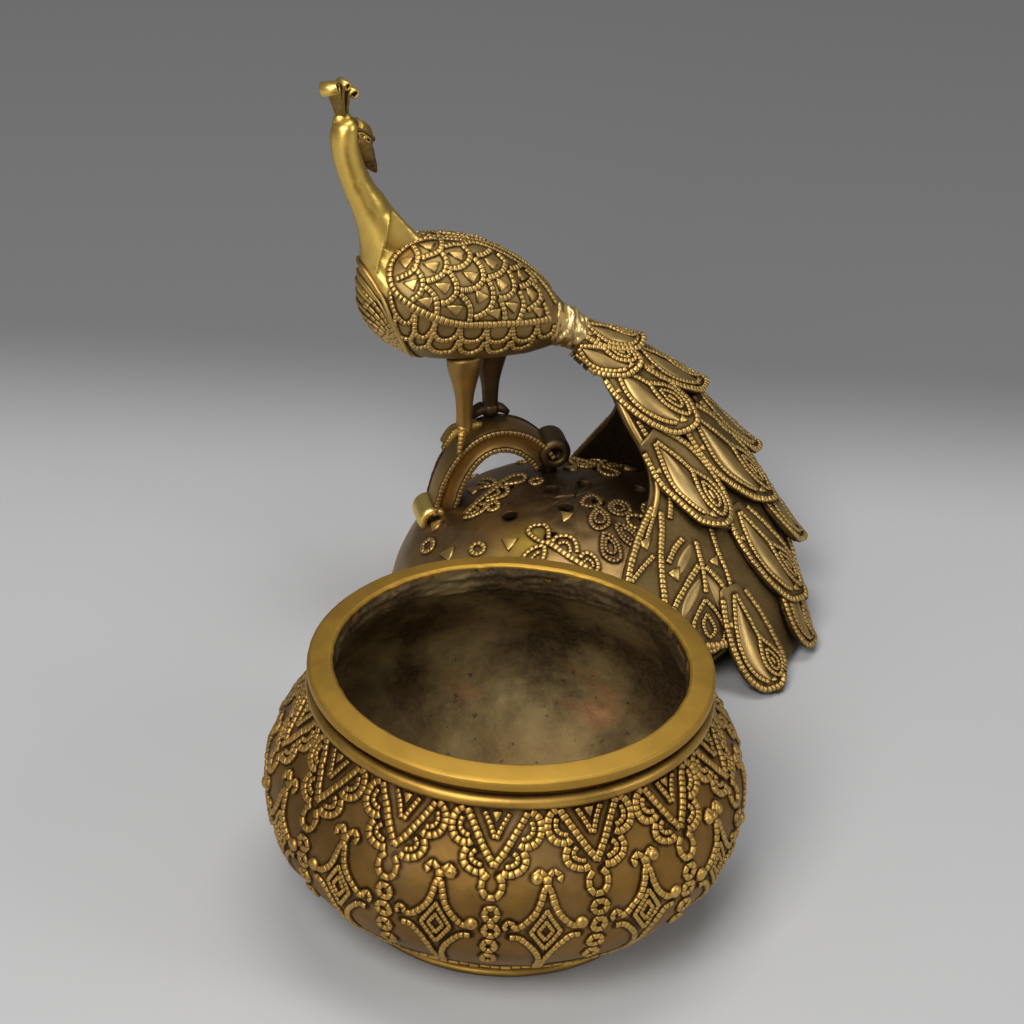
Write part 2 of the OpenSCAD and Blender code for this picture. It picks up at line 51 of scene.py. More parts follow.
# ------------------------------------------------------------------ camera
TH, RO = 31.15*D2R, 3.2*D2R
fwd = np.array([0, math.cos(TH), -math.sin(TH)])
r0, u0 = np.array([1.0, 0, 0]), np.array([0, math.sin(TH), math.cos(TH)])
c_, s_ = math.cos(RO), math.sin(RO)
right, up = c_*r0 + s_*u0, -s_*r0 + c_*u0
cam_data = bpy.data.cameras.new("camera")
cam_data.sensor_width = 36.0
cam_data.lens = 36.0*3600/1024
cam_data.clip_start, cam_data.clip_end = 0.05, 30
cam = bpy.data.objects.new("camera", cam_data)
cam_pos = np.array([-0.04, -14.65, 11.05])*0.052
cam.matrix_world = Matrix([[right[0], up[0], -fwd[0], cam_pos[0]], [right[1], up[1], -fwd[1], cam_pos[1]],
                           [right[2], up[2], -fwd[2], cam_pos[2]], [0, 0, 0, 1]])
bpy.context.scene.collection.objects.link(cam)
bpy.context.scene.camera = cam

# ------------------------------------------------------------------ shapes shared with the CAD source (mm)
RIM_R, BOWL_H, RIM_W, FOOT_D, BELLY_D, WALL = 52.0, 69.0, 6.6, 81.0, 122.5, 2.6
DOME_R, SPIGOT, DOME_H = 52.5, 2.5, 38.3
LX, LY, TURN, BIRD_Y, U = 16.0, 137.0, 15*D2R, 16.4, 52.0


def cr(L, t):
    """Catmull-Rom value at t (0..1, array) along the rows of L."""
    L = np.asarray(L, float)
    if L.ndim == 1:
        L = L[:, None]
        return cr(L, t)[..., 0]
    t = np.asarray(t, float)
    n = len(L) - 1
    s = np.clip(t*n, 0, n - 1e-6)
    i = np.floor(s).astype(int)
    f = (s - i)[..., None]
    a, b, c, d = L[np.maximum(0, i - 1)], L[i], L[np.minimum(n, i + 1)], L[np.minimum(n, i + 2)]
    return 0.5*(2*b + (c - a)*f + (2*a - 5*b + 4*c - d)*f*f + (3*b - a - 3*c + d)*f**3)


def smooth(L, per=6):
    """A dense smooth line through the given points."""
    L = np.asarray(L, float)
    return cr(L, np.linspace(0, 1, (len(L) - 1)*per + 1))


def unit(v):
    return v/np.maximum(1e-9, np.linalg.norm(v, axis=-1, keepdims=True))


def belly(z):
    L = [FOOT_D/2 - 1.5, FOOT_D/2 + 10.6, BELLY_D/2 - 2.2, BELLY_D/2, BELLY_D/2 - 0.7, BELLY_D/2 - 5.6, RIM_R - 1.8]
    return cr(L, np.clip((np.asarray(z, float) - 3)/(BOWL_H - 8 - 3), 0, 1))


def on_belly(s, z, a0, lift=0.0):
    """s mm round the bowl from angle a0 (degrees), at height z: point and outward normal."""
    s, z = np.broadcast_arrays(np.asarray(s, float), np.asarray(z, float))
    r = belly(z)
    a = a0*D2R + s/r
    sl = belly(z - 0.5) - belly(z + 0.5)
    n = unit(np.stack([np.cos(a), np.sin(a), sl], -1))
    return np.stack([r*np.cos(a), r*np.sin(a), z], -1) + n*np.asarray(lift)[..., None], n


def lid(p):
    """From the lid's own frame (mm) to the row frame."""
    p = np.asarray(p, float)
    c, s = math.cos(TURN), math.sin(TURN)
    return np.stack([LX + p[..., 0]*c - p[..., 1]*s, LY + p[..., 0]*s + p[..., 1]*c, p[..., 2]], -1)


def lid_n(p):
    p = np.asarray(p, float)
    c, s = math.cos(TURN), math.sin(TURN)
    return np.stack([p[..., 0]*c - p[..., 1]*s, p[..., 0]*s + p[..., 1]*c, p[..., 2]], -1)


def bird(p):
    return lid(np.asarray(p, float) + np.array([0, BIRD_Y, 0]))


def dome_z(r):
    return SPIGOT + 2 + (DOME_H - SPIGOT - 2)*np.maximum(0, 1 - (np.minimum(r, DOME_R)/DOME_R)**2.1)**(1/2.05)


def on_dome(a, r, lift=0.0):
    """World azimuth a (degrees) and radius r on the dome: point and normal."""
    a, r = np.broadcast_arrays(np.asarray(a, float)*D2R, np.asarray(r, float))
    sl = (dome_z(np.maximum(0, r - 0.4)) - dome_z(r + 0.4))/0.8
    n = unit(np.stack([np.cos(a)*sl, np.sin(a)*sl, np.ones_like(r)], -1))
    return np.stack([LX + r*np.cos(a), LY + r*np.sin(a), dome_z(r)], -1) + n*np.asarray(lift)[..., None], n


BODY = np.array([[-1.195, 2.005, 0.04, 0.05], [-1.165, 1.99, 0.115, 0.125], [-1.09, 1.965, 0.20, 0.21], [-0.97, 1.94, 0.265, 0.29],
                 [-0.81, 1.895, 0.295, 0.33], [-0.64, 1.857, 0.29, 0.332], [-0.48, 1.812, 0.262, 0.302], [-0.33, 1.762, 0.22, 0.252],
                 [-0.20, 1.71, 0.165, 0.195], [-0.09, 1.668, 0.105, 0.13]])


def body_raw(t, a, lift=0.0):
    c = cr(BODY, np.clip(t, 0, 1))*U
    h, w = c[..., 3] + lift, c[..., 2] + lift
    a = np.asarray(a)*D2R
    return np.stack([c[..., 0] + 0.28*h*np.cos(a), -w*np.sin(a), c[..., 1] + h*np.cos(a)], -1)


def on_body(t, a, lift=0.0):
    """t along the body, a round it (0 back, 90 near side, 270 far side): point and normal in the row frame."""
    t, a = np.broadcast_arrays(np.asarray(t, float), np.asarray(a, float))
    p = body_raw(t, a, lift)
    du = body_raw(np.clip(t + 0.01, 0, 1), a, lift) - body_raw(np.clip(t - 0.01, 0, 1), a, lift)
    dv = body_raw(t, a + 1.5, lift) - body_raw(t, a - 1.5, lift)
    n = unit(np.cross(dv, du))
    out = p - (cr(BODY, np.clip(t, 0, 1))*U)[..., [0, 0, 1]]*np.array([1, 0, 1])
    n = n*np.where((n*out).sum(-1, keepdims=True) < 0, -1, 1)
    return bird(p), lid_n(n)


def body_coords(p):
    """t, a and lift of points p (in the bird's own frame, mm) relative to the body."""
    p = np.asarray(p, float)
    x, y, z = (p[..., i].ravel() for i in range(3))
    tt = np.linspace(0, 1, 240)
    c = cr(BODY, tt)*U
    f = c[:, 0][None] + 0.28*(z[:, None] - c[:, 1][None]) - x[:, None]
    i = np.clip((f < 0).sum(1), 1, 239)
    k = np.arange(len(x))
    t = np.clip(tt[i - 1] - f[k, i - 1]/(f[k, i] - f[k, i - 1])*(tt[1] - tt[0]), 0, 1)
    c = cr(BODY, t)*U
    h, w, dz, dy = c[:, 3], c[:, 2], z - c[:, 1], -y
    a = np.degrees(np.arctan2(dy/w, dz/h)) % 360
    l = (np.sqrt((dz/h)**2 + (dy/w)**2) - 1)*np.sqrt(h*w)
    for _ in range(6):
        l = np.maximum(l, -0.9*np.minimum(h, w))
        g = (dz/(h + l))**2 + (dy/(w + l))**2 - 1
        l = l + g/np.maximum(1e-9, 2*(dz**2/(h + l)**3 + dy**2/(w + l)**3))
    s_ = p.shape[:-1]
    return t.reshape(s_), a.reshape(s_), l.reshape(s_)


RIDGE = np.array([[-0.05, 0.315, 1.69], [0.36, 0.31, 1.49], [0.72, 0.27, 1.19], [1.03, 0.20, 0.81], [1.225, 0.10, 0.42], [1.28, 0, 0.01]])
NEAR = np.array([[-0.03, 0.24, 1.57], [0.14, 0.14, 1.42], [0.24, -0.05, 1.22], [0.36, -0.24, 0.90], [0.09, -0.74, 0.655], [-0.05, -1.20, 0.01]])
FAR = np.array([[-0.03, 0.39, 1.57], [0.16, 0.47, 1.40], [0.30, 0.60, 1.18], [0.42, 0.75, 0.86], [0.26, 0.92, 0.47], [0.05, 1.16, 0.01]])


def cape_raw(u, v):
    r, e = cr(RIDGE, u), np.where((v < 0)[..., None], cr(NEAR, u), cr(FAR, u))
    a = 90*D2R*np.abs(v)
    q = 1 + 0.10*u*np.sin(2*a)**2
    return U*np.stack([e[..., 0] + (r[..., 0] - e[..., 0])*np.cos(a)*q, r[..., 1] + (e[..., 1] - r[..., 1])*np.sin(a)*q,
                       e[..., 2] + (r[..., 2] - e[..., 2])*np.cos(a)], -1)


def on_cape(u, v, lift=0.0, world=True):
    u, v = np.broadcast_arrays(np.asarray(u, float), np.asarray(v, float))
    uu, d = np.clip(u, 0, 1), 0.012
    p = cape_raw(uu, v)
    du = cape_raw(np.clip(uu + d, 0, 1), v) - cape_raw(np.clip(uu - d, 0, 1), v)
    dv = cape_raw(uu, v + d) - cape_raw(uu, v - d)
    n = unit(np.cross(du, dv))
    p = p + unit(du)*((u - uu)*110)[..., None] + n*np.asarray(lift)[..., None]
    return (lid(p), lid_n(n)) if world else (p, n, du, dv)


# ------------------------------------------------------------------ mesh building
class Build:
    """Collects vertices (mm), faces and a tone per vertex, and makes one object of them."""

    def __init__(self):
        self.V, self.Q, self.T, self.A, self.n, self.C = [], [], [], [], 0, []

    def add(self, V, Q=None, T=None, A=1.0):
        V = np.asarray(V, float).reshape(-1, 3)
        if Q is not None and len(Q):
            self.Q.append(np.asarray(Q, int).reshape(-1, 4) + self.n)
        if T is not None and len(T):
            self.T.append(np.asarray(T, int).reshape(-1, 3) + self.n)
        self.A.append(np.full(len(V), float(A)) if np.isscalar(A) else np.asarray(A, float).ravel())
        self.V.append(V)
        self.n += len(V)

    def make(self, name, body, slot, mat, replaces=()):
        V = np.concatenate(self.V)
        if body == "lid":
            V[:, 0] = np.where(V[:, 0] > 87, 87 + (V[:, 0] - 87)*0.62, V[:, 0])
            V[:, 2] = np.maximum(V[:, 2], 0.03)
            V[:, 2] = np.where(V[:, 2] > 166.8, 166.8 + (V[:, 2] - 166.8)*0.4, V[:, 2])
        V = V*MM
        A = np.concatenate(self.A)
        Q = np.concatenate(self.Q) if self.Q else np.zeros((0, 4), int)
        T = np.concatenate(self.T) if self.T else np.zeros((0, 3), int)
        if len(Q) + len(T) > 190000:
            h = len(Q)//2
            for k, (q, t) in enumerate(((Q[:h], T), (Q[h:], T[:0]))):
                used, idx = np.unique(np.concatenate([q.ravel(), t.ravel()]), return_inverse=True)
                part = Build()
                part.add(V[used]/MM, idx[:q.size].reshape(-1, 4), idx[q.size:].reshape(-1, 3), A[used])
                part.make(name + ("_b" if k else ""), body, slot, mat, () if k else replaces)
            return None
        me = bpy.data.meshes.new(name)
        me.vertices.add(len(V))
        me.vertices.foreach_set("co", V.astype(np.float32).ravel())
        me.loops.add(Q.size + T.size)
        me.loops.foreach_set("vertex_index", np.concatenate([Q.ravel(), T.ravel()]).astype(np.int32))
        me.polygons.add(len(Q) + len(T))
        starts = np.concatenate([np.arange(len(Q))*4, Q.size + np.arange(len(T))*3])
        me.polygons.foreach_set("loop_start", starts.astype(np.int32))
        me.update(calc_edges=True)
        me.validate()
        me.polygons.foreach_set("use_smooth", np.ones(len(me.polygons), bool))
        att = me.attributes.new("tone", "FLOAT", "POINT")
        if len(me.vertices) == len(A):
            att.data.foreach_set("value", A.astype(np.float32))
        me.materials.append(mat)
        ob = bpy.data.objects.new(name, me)
        bpy.context.scene.collection.objects.link(ob)
        if replaces:
            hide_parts(*replaces)
        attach(ob, body)
        return ob


def patina(P, builds, r0=0.9, r1=2.2, low=0.0):
    """Tone of surface points P: dark next to the applied wires, full away from them."""
    S = np.concatenate([c for b in builds for c in b.C])
    kd = KDTree(len(S))
    for i, c in enumerate(S):
        kd.insert(c, i)
    kd.balance()
    P = np.asarray(P, float)
    d = np.array([kd.find(q)[2] for q in P.reshape(-1, 3)])
    f = np.clip((d - r0)/(r1 - r0), 0, 1)
    return low + (1 - low)*f*f*(3 - 2*f)


def grid_faces(m, n, wrap_v=False, wrap_u=False, flip=False):
    """Quads of a grid with m rows and n columns."""
    i = np.arange(m if wrap_u else m - 1)[:, None]
    j = np.arange(n if wrap_v else n - 1)[None, :]
    a, b = i*n + j, ((i + 1) % m)*n + j
    c, d = ((i + 1) % m)*n + (j + 1) % n, i*n + (j + 1) % n
    q = np.stack([a, b, c, d] if not flip else [a, d, c, b], -1)
    return q.reshape(-1, 4)


def tube_rings(B, R, A=1.0, caps=True):
    """Closed skin over rings R[m, n, 3]."""
    m, n = R.shape[:2]
    V = R.reshape(-1, 3)
    Q = grid_faces(m, n, wrap_v=True)
    A = np.broadcast_to(np.asarray(A, float).reshape(-1, 1) if np.ndim(A) else np.full((m, 1), A), (m, n)).ravel()
    T = []
    if caps:
        V = np.concatenate([V, R[0].mean(0)[None], R[-1].mean(0)[None]])
        A = np.concatenate([A, [A[0], A[-1]]])
        j = np.arange(n)
        T = np.concatenate([np.stack([np.full(n, m*n), j, (j + 1) % n], -1),
                            np.stack([np.full(n, m*n + 1), (m - 1)*n + (j + 1) % n, (m - 1)*n + j], -1)])
    B.add(V, Q, T, A)


SECTION = np.array([[-1.0, -0.55], [-1.0, 0.30], [-0.90, 0.76], [-0.55, 0.97], [0.0, 1.0], [0.55, 0.97], [0.90, 0.76], [1.0, 0.30], [1.0, -0.55]])


def resample(P, N, step):
    seg = np.linalg.norm(np.diff(P, axis=0), axis=1)
    s = np.concatenate([[0], np.cumsum(seg)])
    L = s[-1]
    k = max(1, int(round(L/step)))
    return s, L, k


def rope(B, PN, w=1.5, h=0.95, pitch=1.35, closed=False, jitter=1.0, taper=0.0, tone=1.0, groove=0.88):
    """A cut wire: a row of pillow beads along a line, sunk a little in the surface behind it. PN is (points, normals)."""
    P, N = PN
    if closed:
        P, N = np.concatenate([P, P[:1]]), np.concatenate([N, N[:1]])
    s, L, k = resample(P, N, pitch)
    if L < 0.3:
        return
    local = np.array([0.0, 0.075, 0.17, 0.83, 0.925])
    wf, hf = np.array([groove + 0.04, 0.98, 1.0, 1.0, 0.98]), np.array([0.42, 0.88, 1.0, 1.0, 0.88])
    tf = np.array([0.0, 0.70, 1.0, 1.0, 0.70])
    cuts = np.arange(k + 1)/k + np.concatenate([[0], rng.normal(0, 0.055*jitter, max(0, k - 1)), [0]])/k
    q = (cuts[:-1, None] + (cuts[1:] - cuts[:-1])[:, None]*local[None]).ravel()
    bw = np.repeat(1 + rng.normal(0, 0.05*jitter, k), 5)
    bh = np.repeat(1 + rng.normal(0, 0.09*jitter, k), 5)
    bt = np.repeat(np.clip(1 + rng.normal(0, 0.12, k), 0.6, 1.2), 5)
    wv, hv, tv = np.tile(wf, k)*bw, np.tile(hf, k)*np.clip(bh, 0.7, 1.12), np.tile(tf, k)*bt*tone
    if not closed:
        q, wv, hv, tv = np.append(q, 1.0), np.append(wv, groove*0.9), np.append(hv, 0.4), np.append(tv, 0)
    if taper:
        f = 1 - taper*q
        wv, hv = wv*f, hv*f
    pos = q*L
    C = np.stack([np.interp(pos, s, P[:, i]) for i in range(3)], -1)
    M = unit(np.stack([np.interp(pos, s, N[:, i]) for i in range(3)], -1))
    e = 0.35
    nxt = np.stack([np.interp(np.mod(pos + e, L) if closed else np.minimum(pos + e, L), s, P[:, i]) for i in range(3)], -1)
    prv = np.stack([np.interp(np.mod(pos - e, L) if closed else np.maximum(pos - e, 0), s, P[:, i]) for i in range(3)], -1)
    T = unit(nxt - prv)
    X = unit(np.cross(T, M))
    B.C.append(C[2::5] if len(C) > 4 else C)
    R = C[:, None] + X[:, None]*(SECTION[None, :, :1]*wv[:, None, None]*w/2) + M[:, None]*(SECTION[None, :, 1:]*hv[:, None, None]*h)
    A = tv[:, None]*np.array([0.0, 0.45, 0.85, 1, 1, 1, 0.85, 0.45, 0.0])[None]
    m, n = R.shape[:2]
    V, A = R.reshape(-1, 3), A.ravel()
    if closed:
        B.add(V, grid_faces(m, n, wrap_v=True, wrap_u=True), None, A)
        return
    V = np.concatenate([V, R[0].mean(0)[None], R[-1].mean(0)[None]])
    A = np.concatenate([A, [0.2, 0.2]])
    j = np.arange(n)
    Tr = np.concatenate([np.stack([np.full(n, m*n), j, (j + 1) % n], -1), np.stack([np.full(n, m*n + 1), (m - 1)*n + (j + 1) % n, (m - 1)*n + j], -1)])
    B.add(V, grid_faces(m, n, wrap_v=True), Tr, A)


def wire(B, PN, w=0.9, h=0.5, tone=0.9, n=9):
    """A plain half-round wire along a line."""
    P, N = PN
    T = unit(np.gradient(P, axis=0))
    X = unit(np.cross(T, N))
    R = P[:, None] + X[:, None]*(SECTION[None, :, :1]*w/2) + N[:, None]*(SECTION[None, :, 1:]*h)
    tube_rings(B, R, np.full(len(P), tone))


def pellet(B, p, n, r, tone=1.0, flat=0.75):
    """A domed round pellet on a surface."""
    n = unit(np.asarray(n, float))
    x = unit(np.cross(n, [0.3, 0.5, 0.8]))
    y = np.cross(n, x)
    rows = []
    for i in range(7):
        a = (i/6*110 - 20)*D2R
        rr, hh = r*math.cos(a), r*flat*math.sin(a)
        th = np.arange(12)*2*math.pi/12
        rows.append(p + x*(rr*np.cos(th))[:, None] + y*(rr*np.sin(th))[:, None] + n*hh)
    tube_rings(B, np.array(rows), np.array([0, 0.6, 0.9, 1, 1, 1, 1])*tone)


def prism(B, pts, n, h=0.7, top=0.78, tone=1.0):
    """A raised small tile: outline pts (k, 3) on the surface with normals n, bevelled."""
    pts, n = np.asarray(pts, float), np.asarray(n, float)
    c = pts.mean(0)
    lo, mid, hi = pts - n*0.6, c + (pts - c)*0.99 + n*h*0.78, c + (pts - c)*top + n*h
    k = len(pts)
    V = np.concatenate([lo, mid, hi, (hi.mean(0))[None]])
    j = np.arange(k)
    Q = np.concatenate([np.stack([j, (j + 1) % k, k + (j + 1) % k, k + j], -1), np.stack([k + j, k + (j + 1) % k, 2*k + (j + 1) % k, 2*k + j], -1)])
    T = np.stack([2*k + j, 2*k + (j + 1) % k, np.full(k, 3*k)], -1)
    B.add(V, Q, T, np.concatenate([np.zeros(k), np.full(k, 0.8), np.full(k, 1.0), [1.0]])*tone)


def wobble(n, amp, lo=2, hi=9):
    """A gentle closed random wave over n samples."""
    t = np.arange(n)*2*math.pi/n
    return amp*sum(rng.normal()*np.cos(k*t + rng.uniform(0, 6.3))/math.sqrt(k) for k in range(lo, hi))/1.6


def noise2(m, n, cells, wrap=True):
    """Smooth value noise on an m x n grid, closed along n."""
    g = rng.normal(size=(cells[0] + 3, cells[1]))
    y = np.linspace(0, cells[0], m)
    x = np.arange(n)*cells[1]/n
    iy, ix = np.floor(y).astype(int), np.floor(x).astype(int)
    fy, fx = y - iy, x - ix
    fy, fx = fy*fy*(3 - 2*fy), fx*fx*(3 - 2*fx)
    ix1 = (ix + 1) % cells[1]
    a = g[iy][:, ix % cells[1]]*(1 - fx) + g[iy][:, ix1]*fx
    b = g[iy + 1][:, ix % cells[1]]*(1 - fx) + g[iy + 1][:, ix1]*fx
    return a*(1 - fy)[:, None] + b*fy[:, None]


# ------------------------------------------------------------------ materials
def brass(name, bright, mid, dark, rough=(0.30, 0.50), ao=0.0022, ao_pow=1.0, patina=0.5, blotch=9.0, grain=0.35, use_tone=True, stain=None, metallic=0.95, pits=0.0, spots=()):
    m = bpy.data.materials.new(name)
    m.use_nodes = True
    nt = m.node_tree
    N, L = nt.nodes, nt.links
    N.clear()
    out = N.new("ShaderNodeOutputMaterial")
    bs = N.new("ShaderNodeBsdfPrincipled")
    L.new(bs.outputs[0], out.inputs[0])
    bs.inputs["Metallic"].default_value = metallic
    tc = N.new("ShaderNodeTexCoord")

    def noise(scale, detail=4.0, rough_=0.6, dist=0.0):
        n = N.new("ShaderNodeTexNoise")
        n.inputs["Scale"].default_value = scale
        n.inputs["Detail"].default_value = detail
        n.inputs["Roughness"].default_value = rough_
        n.inputs["Distortion"].default_value = dist
        L.new(tc.outputs["Object"], n.inputs["Vector"])
        return n.outputs["Fac"]

    def rng_(sock, a, b, c=0.0, d=1.0):
        r = N.new("ShaderNodeMapRange")
        r.inputs["From Min"].default_value, r.inputs["From Max"].default_value = a, b
        r.inputs["To Min"].default_value, r.inputs["To Max"].default_value = c, d
        L.new(sock, r.inputs["Value"])
        return r.outputs[0]

    def math_(op, a, b):
        n = N.new("ShaderNodeMath")
        n.operation = op
        n.use_clamp = op != "SUBTRACT"
        for i, v in enumerate((a, b)):
            if isinstance(v, (int, float)):
                n.inputs[i].default_value = v
            else:
                L.new(v, n.inputs[i])
        return n.outputs[0]

    def mix(f, a, b):
        n = N.new("ShaderNodeMix")
        n.data_type = "RGBA"
        if isinstance(f, (int, float)):
            n.inputs[0].default_value = f
        else:
            L.new(f, n.inputs[0])
        for i, v in ((6, a), (7, b)):
            if isinstance(v, tuple):
                n.inputs[i].default_value = (*v, 1)
            else:
                L.new(v, n.inputs[i])
        return n.outputs[2]

    n_big = noise(14*blotch/9, 3, 0.55)
    n_mid = noise(75, 5, 0.65, 0.4)
    n_fine = noise(900, 4, 0.7)
    aon = N.new("ShaderNodeAmbientOcclusion")
    aon.samples = 6
    aon.inputs["Distance"].default_value = ao
    cav = rng_(aon.outputs["AO"], 0.35, 0.92)
    if ao_pow != 1.0:
        cav = math_("POWER", cav, ao_pow)
    if use_tone:
        at = N.new("ShaderNodeAttribute")
        at.attribute_name = "tone"
        tone = rng_(at.outputs["Fac"], 0.05, 0.8)
        cav = math_("MULTIPLY", cav, tone)
    spotted = []
    for centre, axis, d0, d1, colour, amt in spots:
        # distance from a place (axis all ones) or along one axis only
        v = N.new("ShaderNodeVectorMath")
        v.operation = "SUBTRACT"
        L.new(tc.outputs["Object"], v.inputs[0])
        v.inputs[1].default_value = centre
        w = N.new("ShaderNodeVectorMath")
        w.operation = "MULTIPLY"
        L.new(v.outputs[0], w.inputs[0])
        w.inputs[1].default_value = axis if axis == (1, 1, 1) else (0, 0, 1)
        ln = N.new("ShaderNodeVectorMath")
        ln.operation = "LENGTH"
        L.new(w.outputs[0], ln.inputs[0])
        wob = N.new("ShaderNodeMath")
        wob.operation = "MULTIPLY_ADD"
        L.new(n_mid, wob.inputs[0])
        wob.inputs[1].default_value = (d1 - d0)*0.5
        L.new(ln.outputs["Value"], wob.inputs[2])
        f = rng_(wob.outputs[0], d0 + (d1 - d0)*0.25, d1 + (d1 - d0)*0.25, 0.0, 1.0)
        if amt < 0 or axis != (1, 1, 1):
            f = math_("SUBTRACT", 1.0, f)
        spotted.append((math_("MULTIPLY", f, abs(amt)), colour))
    # dark where the ambient occlusion, the noise and the vertex tone are low: patina in the hollows and wear, plus
    # painted shade where a part's tone paints it
    patina_wear_and_painted_shade = math_("MULTIPLY", cav, rng_(n_mid, 0.25, 0.62, 1 - patina, 1.0))
    col = mix(rng_(n_big, 0.36, 0.64), mid, bright)
    for f, colour in spotted:
        col = mix(f, col, colour)
    col = mix(patina_wear_and_painted_shade, dark, col)
    col = mix(math_("MULTIPLY", rng_(n_fine, 0.35, 0.7), 0.22), col, mid)
    if stain:
        for colour, scale, lo, hi, amt in stain:
            col = mix(math_("MULTIPLY", rng_(noise(scale, 4, 0.6), lo, hi), amt), col, colour)
    L.new(col, bs.inputs["Base Color"])
    rr = math_("ADD", rng_(n_mid, 0.3, 0.7, rough[0], rough[1]), rng_(patina_wear_and_painted_shade, 0.0, 1.0, 0.22, 0.0))
    L.new(rr, bs.inputs["Roughness"])
    bump = N.new("ShaderNodeBump")
    bump.inputs["Strength"].default_value = grain
    bump.inputs["Distance"].default_value = 0.0003
    h = math_("ADD", math_("MULTIPLY", n_fine, 0.35), math_("MULTIPLY", n_mid, 0.65))
    if pits:
        h = math_("ADD", h, math_("MULTIPLY", noise(330, 3, 0.6), pits))
    L.new(h, bump.inputs["Height"])
    L.new(bump.outputs[0], bs.inputs["Normal"])
    return m


M_RIM = brass("brass_rim", (0.52, 0.315, 0.052), (0.42, 0.240, 0.038), (0.14, 0.065, 0.014), rough=(0.46, 0.60), patina=0.30, grain=0.16, use_tone=True, ao=0.0016)
M_NECK = brass("brass_neck", (0.60, 0.370, 0.080), (0.42, 0.235, 0.046), (0.045, 0.024, 0.010), rough=(0.34, 0.50), patina=0.50, grain=0.20, use_tone=True, ao=0.0028)
M_ORN = brass("brass_relief", (0.70, 0.47, 0.155), (0.52, 0.32, 0.095), (0.040, 0.020, 0.008), rough=(0.30, 0.46), patina=0.40, grain=0.25)
# a darker copy of the relief brass for reliefs that lie in shade, the dome's flowers and the arch's beads: painted
# shade
M_RELIEF_SHADED = brass("brass_relief_shaded", (0.44, 0.28, 0.10), (0.27, 0.16, 0.06), (0.022, 0.012, 0.006), rough=(0.36, 0.52), patina=0.5, grain=0.3)
M_LACE = brass("brass_lace", (0.66, 0.41, 0.105), (0.46, 0.26, 0.065), (0.034, 0.017, 0.007), rough=(0.32, 0.48), patina=0.42, grain=0.25)
# brass_ground: its spot mixes a paler greyish brown into the belly near the bottom, fading out about 2 cm up
M_GROUND = brass("brass_ground", (0.30, 0.160, 0.034), (0.185, 0.100, 0.028), (0.022, 0.011, 0.005), rough=(0.46, 0.62), patina=0.45, grain=0.30, use_tone=True, ao=0.0030, ao_pow=1.1,
                 stain=[((0.25, 0.17, 0.085), 26, 0.52, 0.68, 0.55)], spots=[((0, 0, 0), (0, 0, 0.011), 0.0, 0.022, (0.24, 0.18, 0.10), 0.55)])
# cast_inside: its spot mixes a near-black into the inside everywhere away from the front of the floor: painted shade on
# the back and upper inner wall
M_INSIDE = brass("cast_inside", (0.52, 0.345, 0.125), (0.33, 0.205, 0.072), (0.040, 0.023, 0.010), rough=(0.52, 0.74), patina=0.75, grain=0.9, use_tone=True, metallic=0.72, ao=0.002, pits=0.8,
                 stain=[((0.34, 0.25, 0.105), 30, 0.50, 0.66, 0.50), ((0.46, 0.16, 0.06), 17, 0.64, 0.73, 0.40), ((0.035, 0.021, 0.012), 420, 0.64, 0.72, 0.8)],
                 spots=[((0.0, -0.016, 0.002), (1, 1, 1), 0.046, 0.078, (0.012, 0.008, 0.004), 0.98)])
M_POL = brass("brass_polished", (0.96, 0.70, 0.22), (0.80, 0.53, 0.115), (0.075, 0.040, 0.017), rough=(0.25, 0.38), patina=0.30, grain=0.14, use_tone=True, ao=0.0025)
# brass_dome: the first three spots paint the dome dark under the tail's root, under the cape's skirt on the right and
# under the arch and legs on the left: painted shade; the fourth, a small yellow patch on the front left of the top:
# painted highlight
M_DOME = brass("brass_dome", (0.50, 0.325, 0.115), (0.33, 0.195, 0.075), (0.030, 0.017, 0.009), rough=(0.32, 0.48), patina=0.50, grain=0.40, use_tone=True, ao=0.0030, blotch=12,
               spots=[((LX*MM + 0.008, LY*MM + 0.014, 0.044), (1, 1, 1), 0.022, 0.050, (0.055, 0.034, 0.020), -0.88), ((LX*MM + 0.048, LY*MM - 0.012, 0.025), (1, 1, 1), 0.008, 0.030, (0.085, 0.050, 0.034), -0.80),
                      ((LX*MM - 0.038, LY*MM - 0.002, 0.034), (1, 1, 1), 0.006, 0.022, (0.10, 0.062, 0.036), -0.7), ((LX*MM - 0.0140, LY*MM - 0.0235, 0.0405), (1, 1, 1), 0.004, 0.013, (0.62, 0.43, 0.035), -0.85)])
# a darker copy of the leg and scroll brass for the far leg, far foot and rear scroll: painted shade
M_SHADED = brass("brass_shaded_copy", (0.15, 0.092, 0.036), (0.090, 0.054, 0.024), (0.014, 0.009, 0.006), rough=(0.36, 0.55), patina=0.6, grain=0.40, use_tone=True, ao=0.003)
M_CAPE = brass("brass_cape", (0.50, 0.34, 0.13), (0.33, 0.205, 0.070), (0.017, 0.0085, 0.004), rough=(0.34, 0.52), patina=0.45, grain=0.30, use_tone=True, ao=0.0030, ao_pow=1.2)
M_LEG = brass("brass_leg", (0.42, 0.255, 0.065), (0.27, 0.150, 0.040), (0.030, 0.016, 0.008), rough=(0.32, 0.48), patina=0.5, grain=0.3, use_tone=True, ao=0.0030)
M_FEATHER = brass("brass_feather", (0.62, 0.43, 0.165), (0.43, 0.275, 0.095), (0.030, 0.015, 0.007), rough=(0.28, 0.46), patina=0.42, grain=0.26, use_tone=True, ao=0.0030, ao_pow=1.2)
